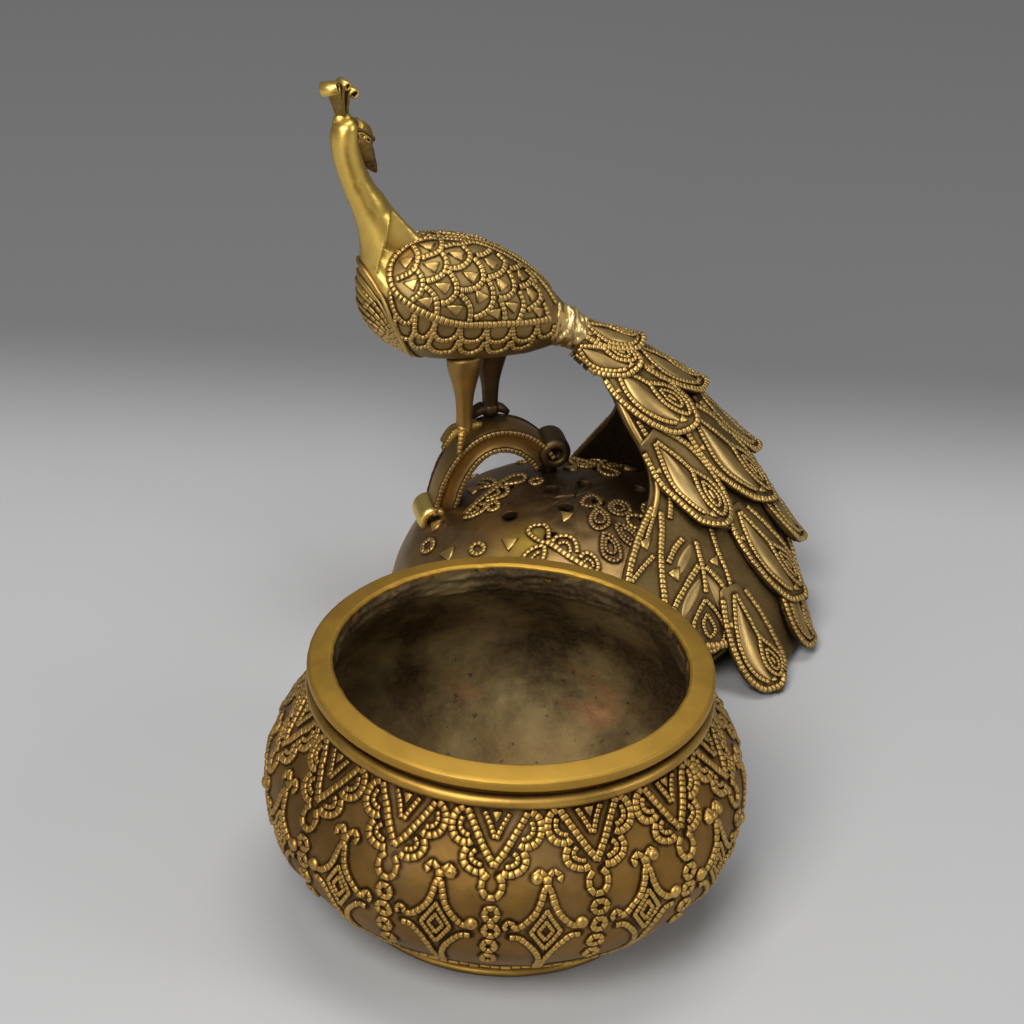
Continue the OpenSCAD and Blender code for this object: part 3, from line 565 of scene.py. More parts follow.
# a dark brass for the lid's flange and locating ring at the foot of the dome, under its edge next to the table: painted
# shade
M_FLANGE = brass("brass_flange", (0.22, 0.14, 0.05), (0.13, 0.08, 0.032), (0.02, 0.012, 0.008), rough=(0.36, 0.55), patina=0.6, grain=0.40, use_tone=False, ao=0.003)
M_SOLDER = brass("solder_patch", (0.86, 0.66, 0.32), (0.64, 0.43, 0.15), (0.14, 0.08, 0.025), rough=(0.26, 0.44), patina=0.4, grain=0.9, use_tone=False, ao=0.002, pits=1.0)

# ------------------------------------------------------------------ bowl
NSEG = 420


def lathe(B, prof, nseg=NSEG, closed=True, dr=None, A=1.0, centre=(0, 0)):
    """prof (m, 2) of r, z; dr (m, nseg) radial and height change as a tuple."""
    prof = np.asarray(prof, float)
    th = np.arange(nseg)*2*math.pi/nseg
    r = prof[:, :1] + (dr[0] if dr is not None else 0)
    z = prof[:, 1:2] + (dr[1] if dr is not None else 0)
    r, z = np.broadcast_to(r, (len(prof), nseg)), np.broadcast_to(z, (len(prof), nseg))
    V = np.stack([centre[0] + r*np.cos(th), centre[1] + r*np.sin(th), z], -1)
    A = np.broadcast_to(np.asarray(A, float).reshape(-1, 1) if np.ndim(A) == 1 else A, (len(prof), nseg))
    B.add(V, grid_faces(len(prof), nseg, wrap_v=True, wrap_u=closed, flip=True), None, A.ravel())


def round_profile(P, r=0.35, n=3):
    """Rounds the corners of a closed profile."""
    P = np.asarray(P, float)
    out = []
    k = len(P)
    for i in range(k):
        a, b, c = P[i - 1], P[i], P[(i + 1) % k]
        da, dc = np.linalg.norm(a - b), np.linalg.norm(c - b)
        q = min(r, da*0.45, dc*0.45)
        p0, p1 = b + (a - b)/da*q, b + (c - b)/dc*q
        for t in np.linspace(0, 1, n + 1):
            out.append((1 - t)**2*p0 + 2*t*(1 - t)*b + t*t*p1)
    return np.array(out)


def bowl(lace):
    # outside of the wall: rings of the belly, from the foot up to the neck
    B = Build()
    seg = 900
    z = np.linspace(3.0, BOWL_H - 8, 186)
    outer = np.stack([belly(z), z], -1)
    neck = np.array([[RIM_R - 2.5, BOWL_H - 7.2], [RIM_R - 2.4, BOWL_H - 6.5], [RIM_R - 5.0, BOWL_H - 6.45]])
    under = np.array([[24.0, 2.25], [FOOT_D/2 - 6, 2.2], [FOOT_D/2 - 4.6, 3.0]])
    base = np.array([[0.02, 2.2], [8, 2.2]])
    prof = np.concatenate([base, under, outer, neck])
    m = len(prof)
    w = np.concatenate([np.zeros(5), np.ones(186), np.zeros(3)])[:, None]
    nz = (noise2(m, seg, (10, 40))*0.10 + noise2(m, seg, (30, 120))*0.04)*w
    th = np.arange(seg)*2*math.pi/seg
    r = prof[:, :1] + nz
    P = np.stack([r*np.cos(th), r*np.sin(th), prof[:, 1:]*np.ones((1, seg))], -1)
    A = np.ones((m, seg))
    A[5:191] = patina(P[5:191], lace, 0.85, 2.3).reshape(186, seg)
    B.add(P.reshape(-1, 3), grid_faces(m, seg, wrap_v=True, flip=True), None, A.ravel())
    B.make("bowl_outside", "bowl", "brass_antique", M_GROUND, [n for n in ("bowl_floor", "bowl_shell", "bowl_waist", "bowl_shoulder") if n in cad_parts])
    # inside: rough casting with lumps, pits and turning rings on the floor
    B = Build()
    zi = np.linspace(BOWL_H - 6.45, 7.0, 74)
    ri = belly(np.minimum(zi, BOWL_H - 8)) - WALL - 0.9*(1 - np.clip((zi - 6.2)/(BOWL_H - 14.5), 0, 1))**3
    ri = np.minimum(ri, np.where(zi > BOWL_H - 9.5, RIM_R - 5.0 + (BOWL_H - 6.45 - zi)*1.6, 99))
    floor_r = np.linspace(ri[-1] - 1.2, 0.02, 46)
    fz = 4.6 + 2.2*np.clip((floor_r - 22)/(ri[-1] - 22), 0, 1)**2
    prof = np.concatenate([np.stack([ri, zi], -1), np.stack([floor_r, fz], -1)])
    m = len(prof)
    big = noise2(m, NSEG, (9, 22))*0.22 + noise2(m, NSEG, (24, 70))*0.12 + noise2(m, NSEG, (60, 190))*0.06
    tone = 0.75 + noise2(m, NSEG, (12, 26))*0.14
    th = np.arange(NSEG)*2*math.pi/NSEG
    rr = prof[:, :1]*np.ones((1, NSEG))
    X, Y, Z = rr*np.cos(th), rr*np.sin(th), prof[:, 1:]*np.ones((1, NSEG))
    for _ in range(120):
        i = rng.integers(4, m - 2)
        j = rng.integers(0, NSEG)
        size = rng.uniform(0.35, 1.0)
        d = np.sqrt((X - X[i, j])**2 + (Y - Y[i, j])**2 + (Z - Z[i, j])**2)
        f = np.exp(-(d/size)**2)
        big += f*rng.uniform(0.15, 0.5)
        tone -= f*0.9
    wall = (np.arange(m) < 74)[:, None]
    rings = 0.09*np.sin(prof[:, :1]*2.2)*(np.arange(m) > 66)[:, None]
    lathe(B, prof, closed=False, dr=(np.where(wall, big, 0), np.where(wall, 0, -big*0.7 + rings)), A=np.clip(tone, 0.05, 1.0))
    B.make("bowl_inside", "bowl", "brass_antique", M_INSIDE)
    # rim: flat sloped face with a crisp edge, outer lip, and the turned edge under it
    B = Build()
    h = BOWL_H
    prof = [[RIM_R - RIM_W, h + 0.95], [RIM_R - RIM_W + 0.75, h + 1.5], [RIM_R - 3.4, h + 0.96], [RIM_R - 0.85, h + 0.40], [RIM_R - 0.12, h - 0.05], [RIM_R, h - 0.7],
            [RIM_R - 0.05, h - 2.3], [RIM_R - 0.6, h - 2.9], [RIM_R - 2.2, h - 3.2], [RIM_R - 2.75, h - 4.6], [RIM_R - 2.5, h - 6.4],
            [RIM_R - 5.2, h - 6.5], [RIM_R - RIM_W - 0.05, h - 3.6]]
    prof = round_profile(prof, 0.28, 4)
    k = len(prof)
    amp = np.where(prof[:, 0] < RIM_R - 6.0, 0.16, 0.045)[:, None]
    wv = wobble(NSEG, 1.0, 3, 24)[None]
    edge = noise2(k, NSEG, (3, 110))*amp
    # the tone paints shade: full on the top face, darker down the lip's outer side, darkest in the turned groove under
    # it and on the underside
    tone = np.where(prof[:, 1] < h - 2.95, 0.35, np.where(prof[:, 1] < h - 0.9, 0.75, 1.0))
    lathe(B, prof, dr=(-np.abs(edge)*0.8 + 0.05*wv*(prof[:, :1] < RIM_R - 0.4), np.minimum(0, wv*0.10)*(prof[:, 1:] > h - 3)), A=tone)
    B.make("rim", "bowl", "brass_polished", M_RIM, ["rim_ring"])
    # the mouth's wall under the rim's inner edge, rough, with ragged casting flash
    B = Build()
    q = np.linspace(0, 1, 16)
    prof = np.stack([RIM_R - RIM_W - 0.12 - 0.25*np.sin(q*2.6) + 0.9*np.clip(q - 0.75, 0, 1)*4*0.6, h + 0.35 - q*6.9], -1)
    rough = noise2(16, NSEG, (6, 60))*0.22 + noise2(16, NSEG, (9, 150))*0.12
    lip = np.zeros((16, NSEG))
    ang = np.arange(NSEG)*360/NSEG
    for a0, span, ht in ((98, 44, 1.0), (140, 30, 0.8), (52, 34, 0.7), (205, 22, 0.5), (-25, 20, 0.35), (165, 14, 0.6)):
        e = np.exp(-(((ang - a0 + 180) % 360 - 180)/(span*0.42))**4)
        lip += ht*e[None]*np.exp(-((q[:, None] - 0.26 - 0.05*wobble(NSEG, 1.0, 8, 40)[None])/0.13)**2)*(0.75 + 0.3*np.clip(wobble(NSEG, 1.0, 14, 60), -1, 1)[None])
    prof_r = prof[:, :1] - lip + np.where(q[:, None] > 0.1, rough, rough*0.3)
    th = np.arange(NSEG)*2*math.pi/NSEG
    P = np.stack([prof_r*np.cos(th), prof_r*np.sin(th), prof[:, 1:]*np.ones((1, NSEG))], -1)
    # the tone grows darker further down into the mouth: painted shade; it is lighter on the flash
    tone = np.clip(0.62 - 0.35*q[:, None] + lip*0.35 + noise2(16, NSEG, (5, 50))*0.12, 0.1, 1.0)
    B.add(P.reshape(-1, 3), grid_faces(16, NSEG, wrap_v=True, flip=True), None, tone.ravel())
    B.make("mouth_wall", "bowl", "brass_polished", M_INSIDE)
    # round ridge in the neck
    B = Build()
    th_ = np.linspace(0, 2*math.pi, 22, endpoint=False)
    prof = np.stack([RIM_R - 1.7 + 1.9*np.cos(th_), BOWL_H - 6.6 + 1.8*np.sin(th_)], -1)
    lathe(B, prof[::-1], dr=(0.04*wobble(NSEG, 1.0, 4, 30)[None], 0.05*wobble(NSEG, 1.0, 3, 16)[None]), A=1.0)
    B.make("neck_bead", "bowl", "brass_polished", M_NECK, ["neck_ridge"])
    # foot ring
    B = Build()
    f = FOOT_D/2
    prof = round_profile([[f - 6, 0.0], [f - 0.9, 0.0], [f, 0.8], [f, 1.9], [f - 0.9, 2.7], [f - 2.6, 3.05], [f - 4.6, 3.1], [f - 6, 2.2]], 0.4, 3)
    lathe(B, prof, dr=(-0.05*np.abs(wobble(NSEG, 1.0, 3, 20))[None], 0), A=1.0)
    B.make("foot", "bowl", "brass_polished", M_NECK, ["foot_ring"])


REP, FIRST = 14, -91.7
# lace pendant, half of it: s mm from its middle, z mm; mirrored for the other half
ARM = [(7.4, 60.0), (6.6, 58.4), (5.0, 55.7), (3.5, 53.2), (1.7, 50.4), (0.7, 49.2), (0.0, 47.9)]
INNER = [(3.1, 59.6), (2.3, 58.2), (1.2, 56.2), (0.15, 53.9)]
BIG = [(7.9, 60.0), (9.5, 59.2), (10.6, 57.6), (10.95, 56.2), (10.8, 54.9), (10.1, 53.6), (8.6, 52.8), (6.9, 52.6), (5.7, 53.2)]
BIG_IN = [(8.3, 57.9), (8.9, 56.5), (8.7, 55.2), (7.5, 54.4), (6.2, 54.2)]
SMALL = [(6.8, 51.7), (7.5, 50.5), (7.7, 49.2), (7.0, 47.9), (5.6, 47.1), (3.8, 46.6), (1.9, 46.9)]
SMALL_IN = [(4.5, 51.4), (5.6, 50.4), (5.5, 49.2), (4.2, 48.5), (2.8, 48.2)]
DROP = [(1.1, 46.4), (2.35, 45.0), (2.45, 43.0), (1.5, 41.4), (0.0, 40.9)]
STEM_ARM = [(0.55, 43.6), (1.0, 42.3), (1.45, 40.2), (2.5, 37.3), (4.3, 34.8), (6.4, 32.9), (7.8, 32.6)]
HORN = [(0.35, 44.6), (0.7, 46.0), (1.7, 47.0), (2.9, 46.8), (3.5, 45.7), (2.9, 44.9)]
LOZ = [(0.0, 37.6), (3.7, 31.3), (0.1, 25.6), (-3.7, 31.3)]
LOZ_IN = [(0.0, 34.4), (1.9, 31.3), (0.0, 28.6), (-1.9, 31.3)]
ARC = [(8.7, 29.6), (6.4, 29.4), (4.2, 27.4), (2.3, 24.6), (1.0, 20.5), (0.7, 15.5)]


def line(L, a0, sign, lift=0.0, per=6, warp=None):
    P = smooth(L, per)
    if warp is not None:
        P = P + warp*np.sin(P[:, ::-1]*0.21 + warp[0]*9)
    return on_belly(P[:, 0]*sign, P[:, 1], a0, lift)


def bowl_ornament():
    Bp, Bd, Ba, Bl, Be, Bs = Build(), Build(), Build(), Build(), Build(), Build()
    for k in range(REP):
        a = FIRST + k*360/REP + rng.normal(0, 0.25)
        wp = rng.normal(0, 0.22, 2)
        for s in (-1, 1):
            sc = 1 + rng.normal(0, 0.015)
            w2 = rng.normal(0, 0.16, 2)
            f = lambda L: [(x*sc, z) for x, z in L]
            rope(Bp, line(f(ARM), a, s, warp=w2), 1.95, 1.0, 1.55)
            rope(Bp, line(f(INNER), a, s, warp=w2), 1.40, 0.8, 1.25)
            rope(Bp, line(f(BIG), a, s, warp=w2), 2.05, 0.95, 1.60)
            rope(Bp, line(f(BIG_IN), a, s, warp=w2), 1.40, 0.8, 1.25)
            rope(Bp, line(f(SMALL), a, s, warp=w2), 1.95, 0.95, 1.60)
            rope(Bp, line(f(SMALL_IN), a, s, warp=w2), 1.35, 0.8, 1.25)
        P, n = on_belly(np.array([-1.25, 1.2, 0.0]), np.array([59.7, 59.8, 57.2]), a)
        prism(Bp, P, n, 0.85)
        L = np.array(DROP)
        full = np.concatenate([L*[1, 1], (L*[-1, 1])[::-1][1:]])
        rope(Bd, line(full, a, 1, warp=wp), 1.75, 0.95, 2.1, groove=0.93)
        for z, r, w in ((36.9, 1.75, 1.75), (31.6, 1.7, 1.7), (26.3, 1.6, 1.65), (20.9, 1.55, 1.6)):
            t = np.linspace(0, 2*math.pi, 20, endpoint=False)
            ds, dz = rng.normal(0, 0.12, 2)
            q = rng.uniform(0.92, 1.1)
            rope(Bd, on_belly(ds + r*q*np.cos(t), z + dz + r/q*np.sin(t), a), w, 0.9, 1.75, closed=True, groove=0.95)
        b = a + 180/REP
        wp = rng.normal(0, 0.2, 2)
        for s in (-1, 1):
            w2 = rng.normal(0, 0.15, 2)
            rope(Ba, line(STEM_ARM, b, s, warp=w2), 1.75, 0.95, 1.55)
            rope(Ba, line(HORN, b, s, warp=w2), 1.75, 0.95, 1.9, groove=0.93)
            style = rng.random()
            P, n = on_belly(np.array([s*8.9]), np.array([33.3]), b, 0.25)
            if style < 0.55:
                pellet(Be, P[0], n[0], 1.85)
            else:
                t = np.linspace(0.2, 5.4, 14)
                rr = 1.55 - 0.17*t
                rope(Be, on_belly(s*(8.9 + rr*np.cos(t - 1.2)), 33.3 + rr*np.sin(t - 1.2), b), 1.35, 0.9, 1.5, groove=0.92)
            P, n = on_belly(np.array([s*2.5]), np.array([45.7]), b, 0.3)
            if rng.random() < 0.6:
                pellet(Be, P[0], n[0], 1.65)
            rope(Bs, line(ARC, b, s, warp=w2), 1.6, 0.85, 1.45)
        rope(Ba, on_belly(np.zeros(4), np.linspace(45.9, 43.0, 4), b), 2.1, 1.0, 1.5, groove=0.93)
        L = np.array(LOZ + LOZ[:1], float)
        P = np.concatenate([np.linspace(L[i], L[i + 1], 7)[:-1] for i in range(4)])
        rope(Bl, on_belly(P[:, 0], P[:, 1], b), 1.25, 0.8, 1.1, closed=True)
        L = np.array(LOZ_IN + LOZ_IN[:1], float)
        P = np.concatenate([np.linspace(L[i], L[i + 1], 5)[:-1] for i in range(4)])
        rope(Bl, on_belly(P[:, 0], P[:, 1], b), 1.15, 0.7, 1.0, closed=True)
    # thin wire round the bottom of the pattern, just above the foot
    t = np.linspace(0, 2*math.pi*belly(13.5), 360)
    rope(Bs, on_belly(t[:-1], 12.6 + 0.35*np.sin(t[:-1]*0.23), 0.0), 1.2, 0.7, 2.6, closed=True, groove=0.85)
    Bp.make("lace", "bowl", "brass_ornament", M_LACE, ["lace_pendants"])
    Bd.make("drops", "bowl", "brass_ornament", M_LACE, ["drop_rings"])
    Ba.make("anchors", "bowl", "brass_ornament", M_LACE, ["anchor_motifs"])
    Bl.make("lozenge_frames", "bowl", "brass_ornament", M_LACE, ["lozenges"])
    Be.make("pellet_tips", "bowl", "brass_ornament", M_LACE, ["pellets"])
    Bs.make("foot_arcs", "bowl", "brass_ornament", M_LACE, ["foot_scallops"])
    # the one pellet that the carrying motion hangs on
    c = sum(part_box("carry_pellet"), type(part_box("carry_pellet")[0])())/2
    c = np.array(c)/MM
    n = unit(np.array([c[0], c[1], 0.0]))
    B = Build()
    rows = []
    for i in range(9):
        q = (i/8*176 - 88)*D2R
        th = np.arange(16)*2*math.pi/16
        x, y = unit(np.cross(n, [0, 0, 1.0])), np.array([0, 0, 1.0])
        rows.append(c + 1.95*(x*(math.cos(q)*np.cos(th))[:, None] + y*(math.cos(q)*np.sin(th))[:, None] + n*math.sin(q)))
    tube_rings(B, np.array(rows), np.ones(9))
    B.make("back_pellet", "carry", "brass_ornament", M_LACE, ["carry_pellet"])
    return [Bp, Bd, Ba, Bl, Be, Bs]


# ------------------------------------------------------------------ dome
def dome():
    # the flange and locating ring take the dark brass: painted shade under the dome's edge
    for n in ("lid_flange", "locating_ring"):
        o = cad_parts[n]
        o.data.materials.clear()
        o.data.materials.append(M_FLANGE)
    kept = []
    B = Build()
    tri = lambda a, r, size, turn, B=B: prism(B, *[x for x in on_dome_patch(a, r, [(size*math.cos((turn + q)*D2R), size*math.sin((turn + q)*D2R)) for q in (90, 210, 330)])], 0.75)
    for a, r, s, t in ((-153, 40.1, 3.1, 10), (-131, 27.9, 3.1, -25), (-102, 11.7, 2.9, 60), (-176, 40, 3, 5), (162, 31, 3, 40), (140, 40, 3, 10), (93, 18, 2.8, 30), (60, 32, 3, 0),
                       (20, 40, 3, 20), (110, 42, 3, 0), (-20, 33, 3, 15), (-48, 42, 3, 0)):
        tri(a, r, s, t)
    kept.append(B)
    B.make("dome_tiles", "lid", "brass_ornament", M_ORN, ["dome_triangles"])
    B = Build()
    for a, r, q in ((-143, 34.2, 2.0), (-166, 43, 2.2), (-171, 23.9, 1.8), (145, 13.9, 1.7), (118, 32, 1.9), (170, 36, 1.9), (80, 42, 2.0), (30, 44, 1.9), (-12, 40, 1.9)):
        t = np.linspace(0, 2*math.pi, 22, endpoint=False)
        P, n = on_dome_patch(a, r, np.stack([q*1.12*np.cos(t), q*0.92*np.sin(t)], -1))
        rope(B, (P, n), 1.5, 0.8, 1.3, closed=True)
    kept.append(B)
    B.make("dome_beaded_rings", "lid", "brass_ornament", M_ORN, ["dome_rings"])

    def dl(B, L, w=1.5, h=0.85, pitch=1.35, shift=0.0, closed=False, grow=0.0):
        L = np.array(L, float)
        xy = np.stack([L[:, 1]*np.cos(L[:, 0]*D2R), L[:, 1]*np.sin(L[:, 0]*D2R)], -1)
        if grow:
            c = xy.mean(0)
            xy = c + (xy - c)*(1 + grow)
        P = smooth(xy, 6)
        a, r = np.degrees(np.arctan2(P[:, 1], P[:, 0])) + shift, np.hypot(P[:, 0], P[:, 1])
        rope(B, on_dome(a, r), w, h, pitch, closed=closed)
    B = Build()
    for sh in (0, 92, 181, 268):
        dl(B, [(-110, 23.3), (-102, 24.6), (-92, 27.3), (-84, 30.0), (-80, 31.8)], 2.0, 1.0, 1.6, sh)
        dl(B, [(-110, 24.0), (-117, 23.5), (-126, 22.2), (-128, 19.8), (-121, 17.6), (-113, 18.9), (-109, 22.2)], 1.45, 0.85, 1.4, sh)
        dl(B, [(-106, 22.9), (-102.5, 20.5), (-94, 19.9), (-88.5, 22.3), (-87.5, 25.9)], 1.45, 0.85, 1.4, sh)
        dl(B, [(-101, 23.3), (-96, 22.3), (-92.5, 23.9), (-92, 25.9)], 1.1, 0.7, 1.15, sh)
        dl(B, [(-110, 24.9), (-115, 26.6), (-117.5, 29.2), (-117, 31.5)], 1.45, 0.85, 1.4, sh)
        dl(B, [(-109.5, 24.9), (-107.5, 27.3), (-107, 29.8), (-107.5, 32.0)], 1.45, 0.85, 1.4, sh)
        dl(B, [(-113.5, 31.5), (-112.5, 28.7), (-110.5, 27.3)], 1.1, 0.7, 1.15, sh)
        dl(B, [(-86, 27.6), (-82.5, 25.8), (-77.5, 27.0), (-76, 30.0), (-78, 32.4)], 1.4, 0.8, 1.35, sh)
        dl(B, [(-84, 29.0), (-81.5, 27.9), (-79, 29.0), (-79, 30.6)], 1.0, 0.65, 1.1, sh)
    kept.append(B)
    B.make("dome_bows", "lid", "brass_ornament", M_ORN, ["dome_bow"])
    B = Build()
    for sh in (0,):
        for grow, w in ((0.0, 1.45), (-0.45, 1.15)):
            if grow == 0.0:
                dl(B, [(-70, 5.2), (-20, 3.4), (2, 5.6), (-25, 8.2), (-51, 7.6), (-70, 5.2)], w, 0.7, 1.2, sh, grow=grow)
            dl(B, [(-38, 9.0), (-58, 10.2), (-70, 13.4), (-69, 16.4), (-62, 17.4), (-52, 16.1), (-44, 13.3), (-42, 10.9), (-38, 9.0)], w, 0.75, 1.2, sh, grow=grow)
            dl(B, [(-22, 10.8), (-6, 12.0), (-6, 15.0), (-19, 16.9), (-31, 15.3), (-33, 12.4), (-22, 10.8)], w, 0.75, 1.2, sh, grow=grow)
            dl(B, [(-63, 18.9), (-69, 22.7), (-71, 26.7), (-67, 29.2), (-62, 28.8), (-58.5, 24.9), (-58.5, 21.2), (-63, 18.9)], w, 0.75, 1.2, sh, grow=grow)
            dl(B, [(-49, 18.2), (-52, 23.0), (-48, 27.0), (-41, 26.0), (-39, 21.5), (-43, 18.0), (-49, 18.2)], w, 0.75, 1.2, sh, grow=grow)
    kept.append(B)
    # the flowers take the darker copy of the relief brass: painted shade under the tail
    B.make("dome_flowers", "lid", "brass_ornament", M_RELIEF_SHADED, ["dome_blossom"])
    B = Build()
    holes = [(90*k + 69, 7.4) for k in range(4)] + [(45*k + 27.5, 21) for k in range(8)]
    t = np.linspace(0, 360, 400, endpoint=False)
    rope(B, (np.stack([LX + (DOME_R - 0.35)*np.cos(t*D2R), LY + (DOME_R - 0.35)*np.sin(t*D2R), np.full(400, SPIGOT + 2.4)], -1),
             unit(np.stack([np.cos(t*D2R), np.sin(t*D2R), np.full(400, 0.25)], -1))), 1.4, 0.7, 1.5, closed=True)
    B.make("dome_edge_beads", "lid", "brass_ornament", M_ORN, ["dome_border"])
    kept.append(B)
    # the pierced wall: a fine polar grid, snapped to the edge of each smoke hole
    B = Build()
    m, seg = 150, 560
    fine = np.linspace(0.02, DOME_R - 0.02, 4000)
    arc = np.concatenate([[0], np.cumsum(np.hypot(np.diff(fine), np.diff(dome_z(fine))))])
    rad = np.interp(np.linspace(0, arc[-1], m), arc, fine)
    A_, R_ = np.meshgrid(np.arange(seg)*360/seg, rad)
    P, N = on_dome(A_.T.T, R_)
    P = P + N*((noise2(m, seg, (16, 34))*0.10)*np.minimum(1, (m - 1 - np.arange(m)) / 6)[:, None])[..., None]
    hole_r = 2.2
    inside_any = np.zeros((m, seg), bool)
    for ha, hr in holes:
        c, cn = on_dome(np.array([ha]), np.array([hr]))
        c, cn = c[0], cn[0]
        d = P - c
        h = (d*cn).sum(-1)
        lat = d - h[..., None]*cn
        dist = np.linalg.norm(lat, axis=-1)
        near = dist < hole_r
        inside_any |= near & (np.abs(h) < 3)
        sel = near & (np.abs(h) < 3)
        P[sel] += lat[sel]/np.maximum(1e-6, dist[sel])[:, None]*(hole_r - dist[sel])[:, None]
    Nn = N
    inner = P - Nn*2.2
    inner[..., 2] = np.maximum(inner[..., 2], SPIGOT + 1.0)
    F = grid_faces(m, seg, wrap_v=True)
    gone = inside_any.ravel()[F].all(1)
    o = m*seg
    tone = patina(P, kept, 0.7, 2.0, 0.12)
    # the edges of the smoke holes are painted darker and the dome's inner face dark: painted shade inside the lid
    tone[inside_any.ravel()] *= 0.3
    B.add(np.concatenate([P.reshape(-1, 3), inner.reshape(-1, 3)]), np.concatenate([F[~gone], F[~gone][:, ::-1] + o]), None, np.concatenate([tone, np.full(o, 0.2)]))
    for ha, hr in holes:
        c, cn = on_dome(np.array([ha]), np.array([hr]))
        c, cn = c[0], cn[0]
        x = unit(np.cross(cn, [0.2, 0.9, 0.1]))
        y = np.cross(cn, x)
        th = np.arange(28)*2*math.pi/28
        ring_ = lambda h, r: c + x*(r*np.cos(th))[:, None] + y*(r*np.sin(th))[:, None] + cn*h
        R = np.stack([ring_(0.12, 2.55), ring_(0.12, 2.3), ring_(-0.25, 2.12), ring_(-2.4, 2.12)])
        # each hole's wall darkens going in: painted shade
        B.add(R.reshape(-1, 3), grid_faces(4, 28, wrap_v=True, flip=False), None, np.repeat([0.35, 0.25, 0.1, 0.05], 28))
    B.make("dome_wall", "lid", "brass_antique", M_DOME, [n for n in ("dome", "dome_crown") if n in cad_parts])


def on_dome_patch(a, r, xy):
    """Points xy mm in the surface round a place on the dome: x round it, y up it."""
    xy = np.asarray(xy, float)
    sl = math.sqrt(1 + float((dome_z(r - 0.5) - dome_z(r + 0.5)))**2)
    rr = r - xy[:, 1]/sl
    return on_dome(a + np.degrees(xy[:, 0]/max(6.0, r)), rr)


# ------------------------------------------------------------------ arch
ARCH = np.array([[-0.69, 0.52], [-0.675, 0.62], [-0.635, 0.76], [-0.565, 0.885], [-0.47, 0.965], [-0.365, 0.985], [-0.26, 0.955], [-0.17, 0.885], [-0.115, 0.81]])


def arch():
    t = np.linspace(0, 1, 44)
    c = cr(ARCH, t)*U
    d = unit(np.gradient(c, axis=0))
    n = np.stack([-d[:, 1], d[:, 0]], -1)
    sec = np.array([(-4.7, -3.4), (-4.75, -2.3), (-4.1, -1.8), (-3.9, 0.2), (-4.1, 2.2), (-4.75, 2.7), (-4.6, 3.4), (-3.2, 3.8), (0, 3.95), (3.2, 3.8), (4.6, 3.4),
                    (4.75, 2.7), (4.1, 2.2), (3.9, 0.2), (4.1, -1.8), (4.75, -2.3), (4.7, -3.4), (0, -3.5)])
    R = np.stack([np.stack([c[:, 0] + n[:, 0]*q, np.full(44, y), c[:, 1] + n[:, 1]*q], -1) for y, q in sec], 1)
    B = Build()
    tube_rings(B, bird(R), np.ones(44))
    B.make("arch", "lid", "brass_polished", M_ARCH, ["arch_band"])
    B = Build()
    tt = np.linspace(0.02, 0.98, 60)
    c = cr(ARCH, tt)*U
    d = unit(np.gradient(c, axis=0))
    n = np.stack([-d[:, 1], d[:, 0]], -1)
    for s in (-1, 1):
        for q in (3.05, -2.75):
            P = np.stack([c[:, 0] + n[:, 0]*q, np.full(60, s*4.75), c[:, 1] + n[:, 1]*q], -1)
            rope(B, (bird(P), lid_n(np.tile([0, s, 0.0], (60, 1)))), 1.5, 0.75, 1.3)
    # beaded circles on the sides of the front scroll
    for s in (-1, 1):
        a = np.linspace(-0.4, 5.2, 26)
        rr = 2.9 - 0.10*a
        P = np.stack([-0.755*U + rr*np.cos(a), np.full(26, s*5.35), 0.505*U + rr*np.sin(a)], -1)
        rope(B, (bird(P), lid_n(np.tile([0, s, 0.0], (26, 1)))), 1.2, 0.1, 1.2)
    # the arch's beads take the darker copy of the relief brass: painted shade under the body
    B.make("arch_beads", "lid", "brass_ornament", M_RELIEF_SHADED, ["arch_ropes"])
    # rolled ends: rounded rolls, hollow in the middle of each side
    # the rear scroll takes the darker shaded copy of the brass: painted shade
    for name, x, z, r, mat in (("front_scroll", -0.755*U, 0.505*U, 4.5, M_POL), ("rear_scroll", -0.066*U, 0.875*U, 4.8, M_SHADED)):
        B = Build()
        hw = 5.45
        prof = [(0.05, -hw + 2.2), (1.2, -hw + 2.2), (1.9, -hw + 1.6), (2.2, -hw + 0.5), (2.7, -hw + 0.05), (3.5, -hw + 0.05), (r - 0.35, -hw + 0.7), (r, -hw + 1.9), (r, 0), (r, hw - 1.9),
                (r - 0.35, hw - 0.7), (3.5, hw - 0.05), (2.7, hw - 0.05), (2.2, hw - 0.5), (1.9, hw - 1.6), (1.2, hw - 2.2), (0.05, hw - 2.2)]
        prof = smooth(prof, 3)
        th = np.arange(36)*2*math.pi/36
        R = np.stack([np.stack([x + p[0]*np.cos(th), np.full(36, p[1]), z + p[0]*np.sin(th)], -1) for p in prof])
        tube_rings(B, bird(R), np.ones(len(prof)), caps=True)
        if name == "rear_scroll":
            zz = np.linspace(0.62*U, 0.82*U, 6)
            R = np.stack([np.stack([x + 2.4*np.cos(th), 2 + 2.4*np.sin(th), np.full(36, q)], -1) for q in zz])
            tube_rings(B, bird(R), np.ones(6))
        B.make(name + "_roll", "lid", "brass_polished", mat, [name])


M_ARCH = brass("brass_arch", (0.42, 0.25, 0.065), (0.25, 0.14, 0.042), (0.030, 0.016, 0.008), rough=(0.30, 0.46), patina=0.5, grain=0.3, use_tone=True, ao=0.004)


# ------------------------------------------------------------------ legs and feet
def loft(B, C, X, Y, rx, ry, n=20, tone=1.0):
    """Oval sections round centres C with axes X, Y and half sizes rx, ry."""
    th = np.arange(n)*2*math.pi/n
    R = C[:, None] + X[:, None]*(rx[:, None]*np.cos(th)[None])[..., None] + Y[:, None]*(ry[:, None]*np.sin(th)[None])[..., None]
    tube_rings(B, R, np.full(len(C), tone))


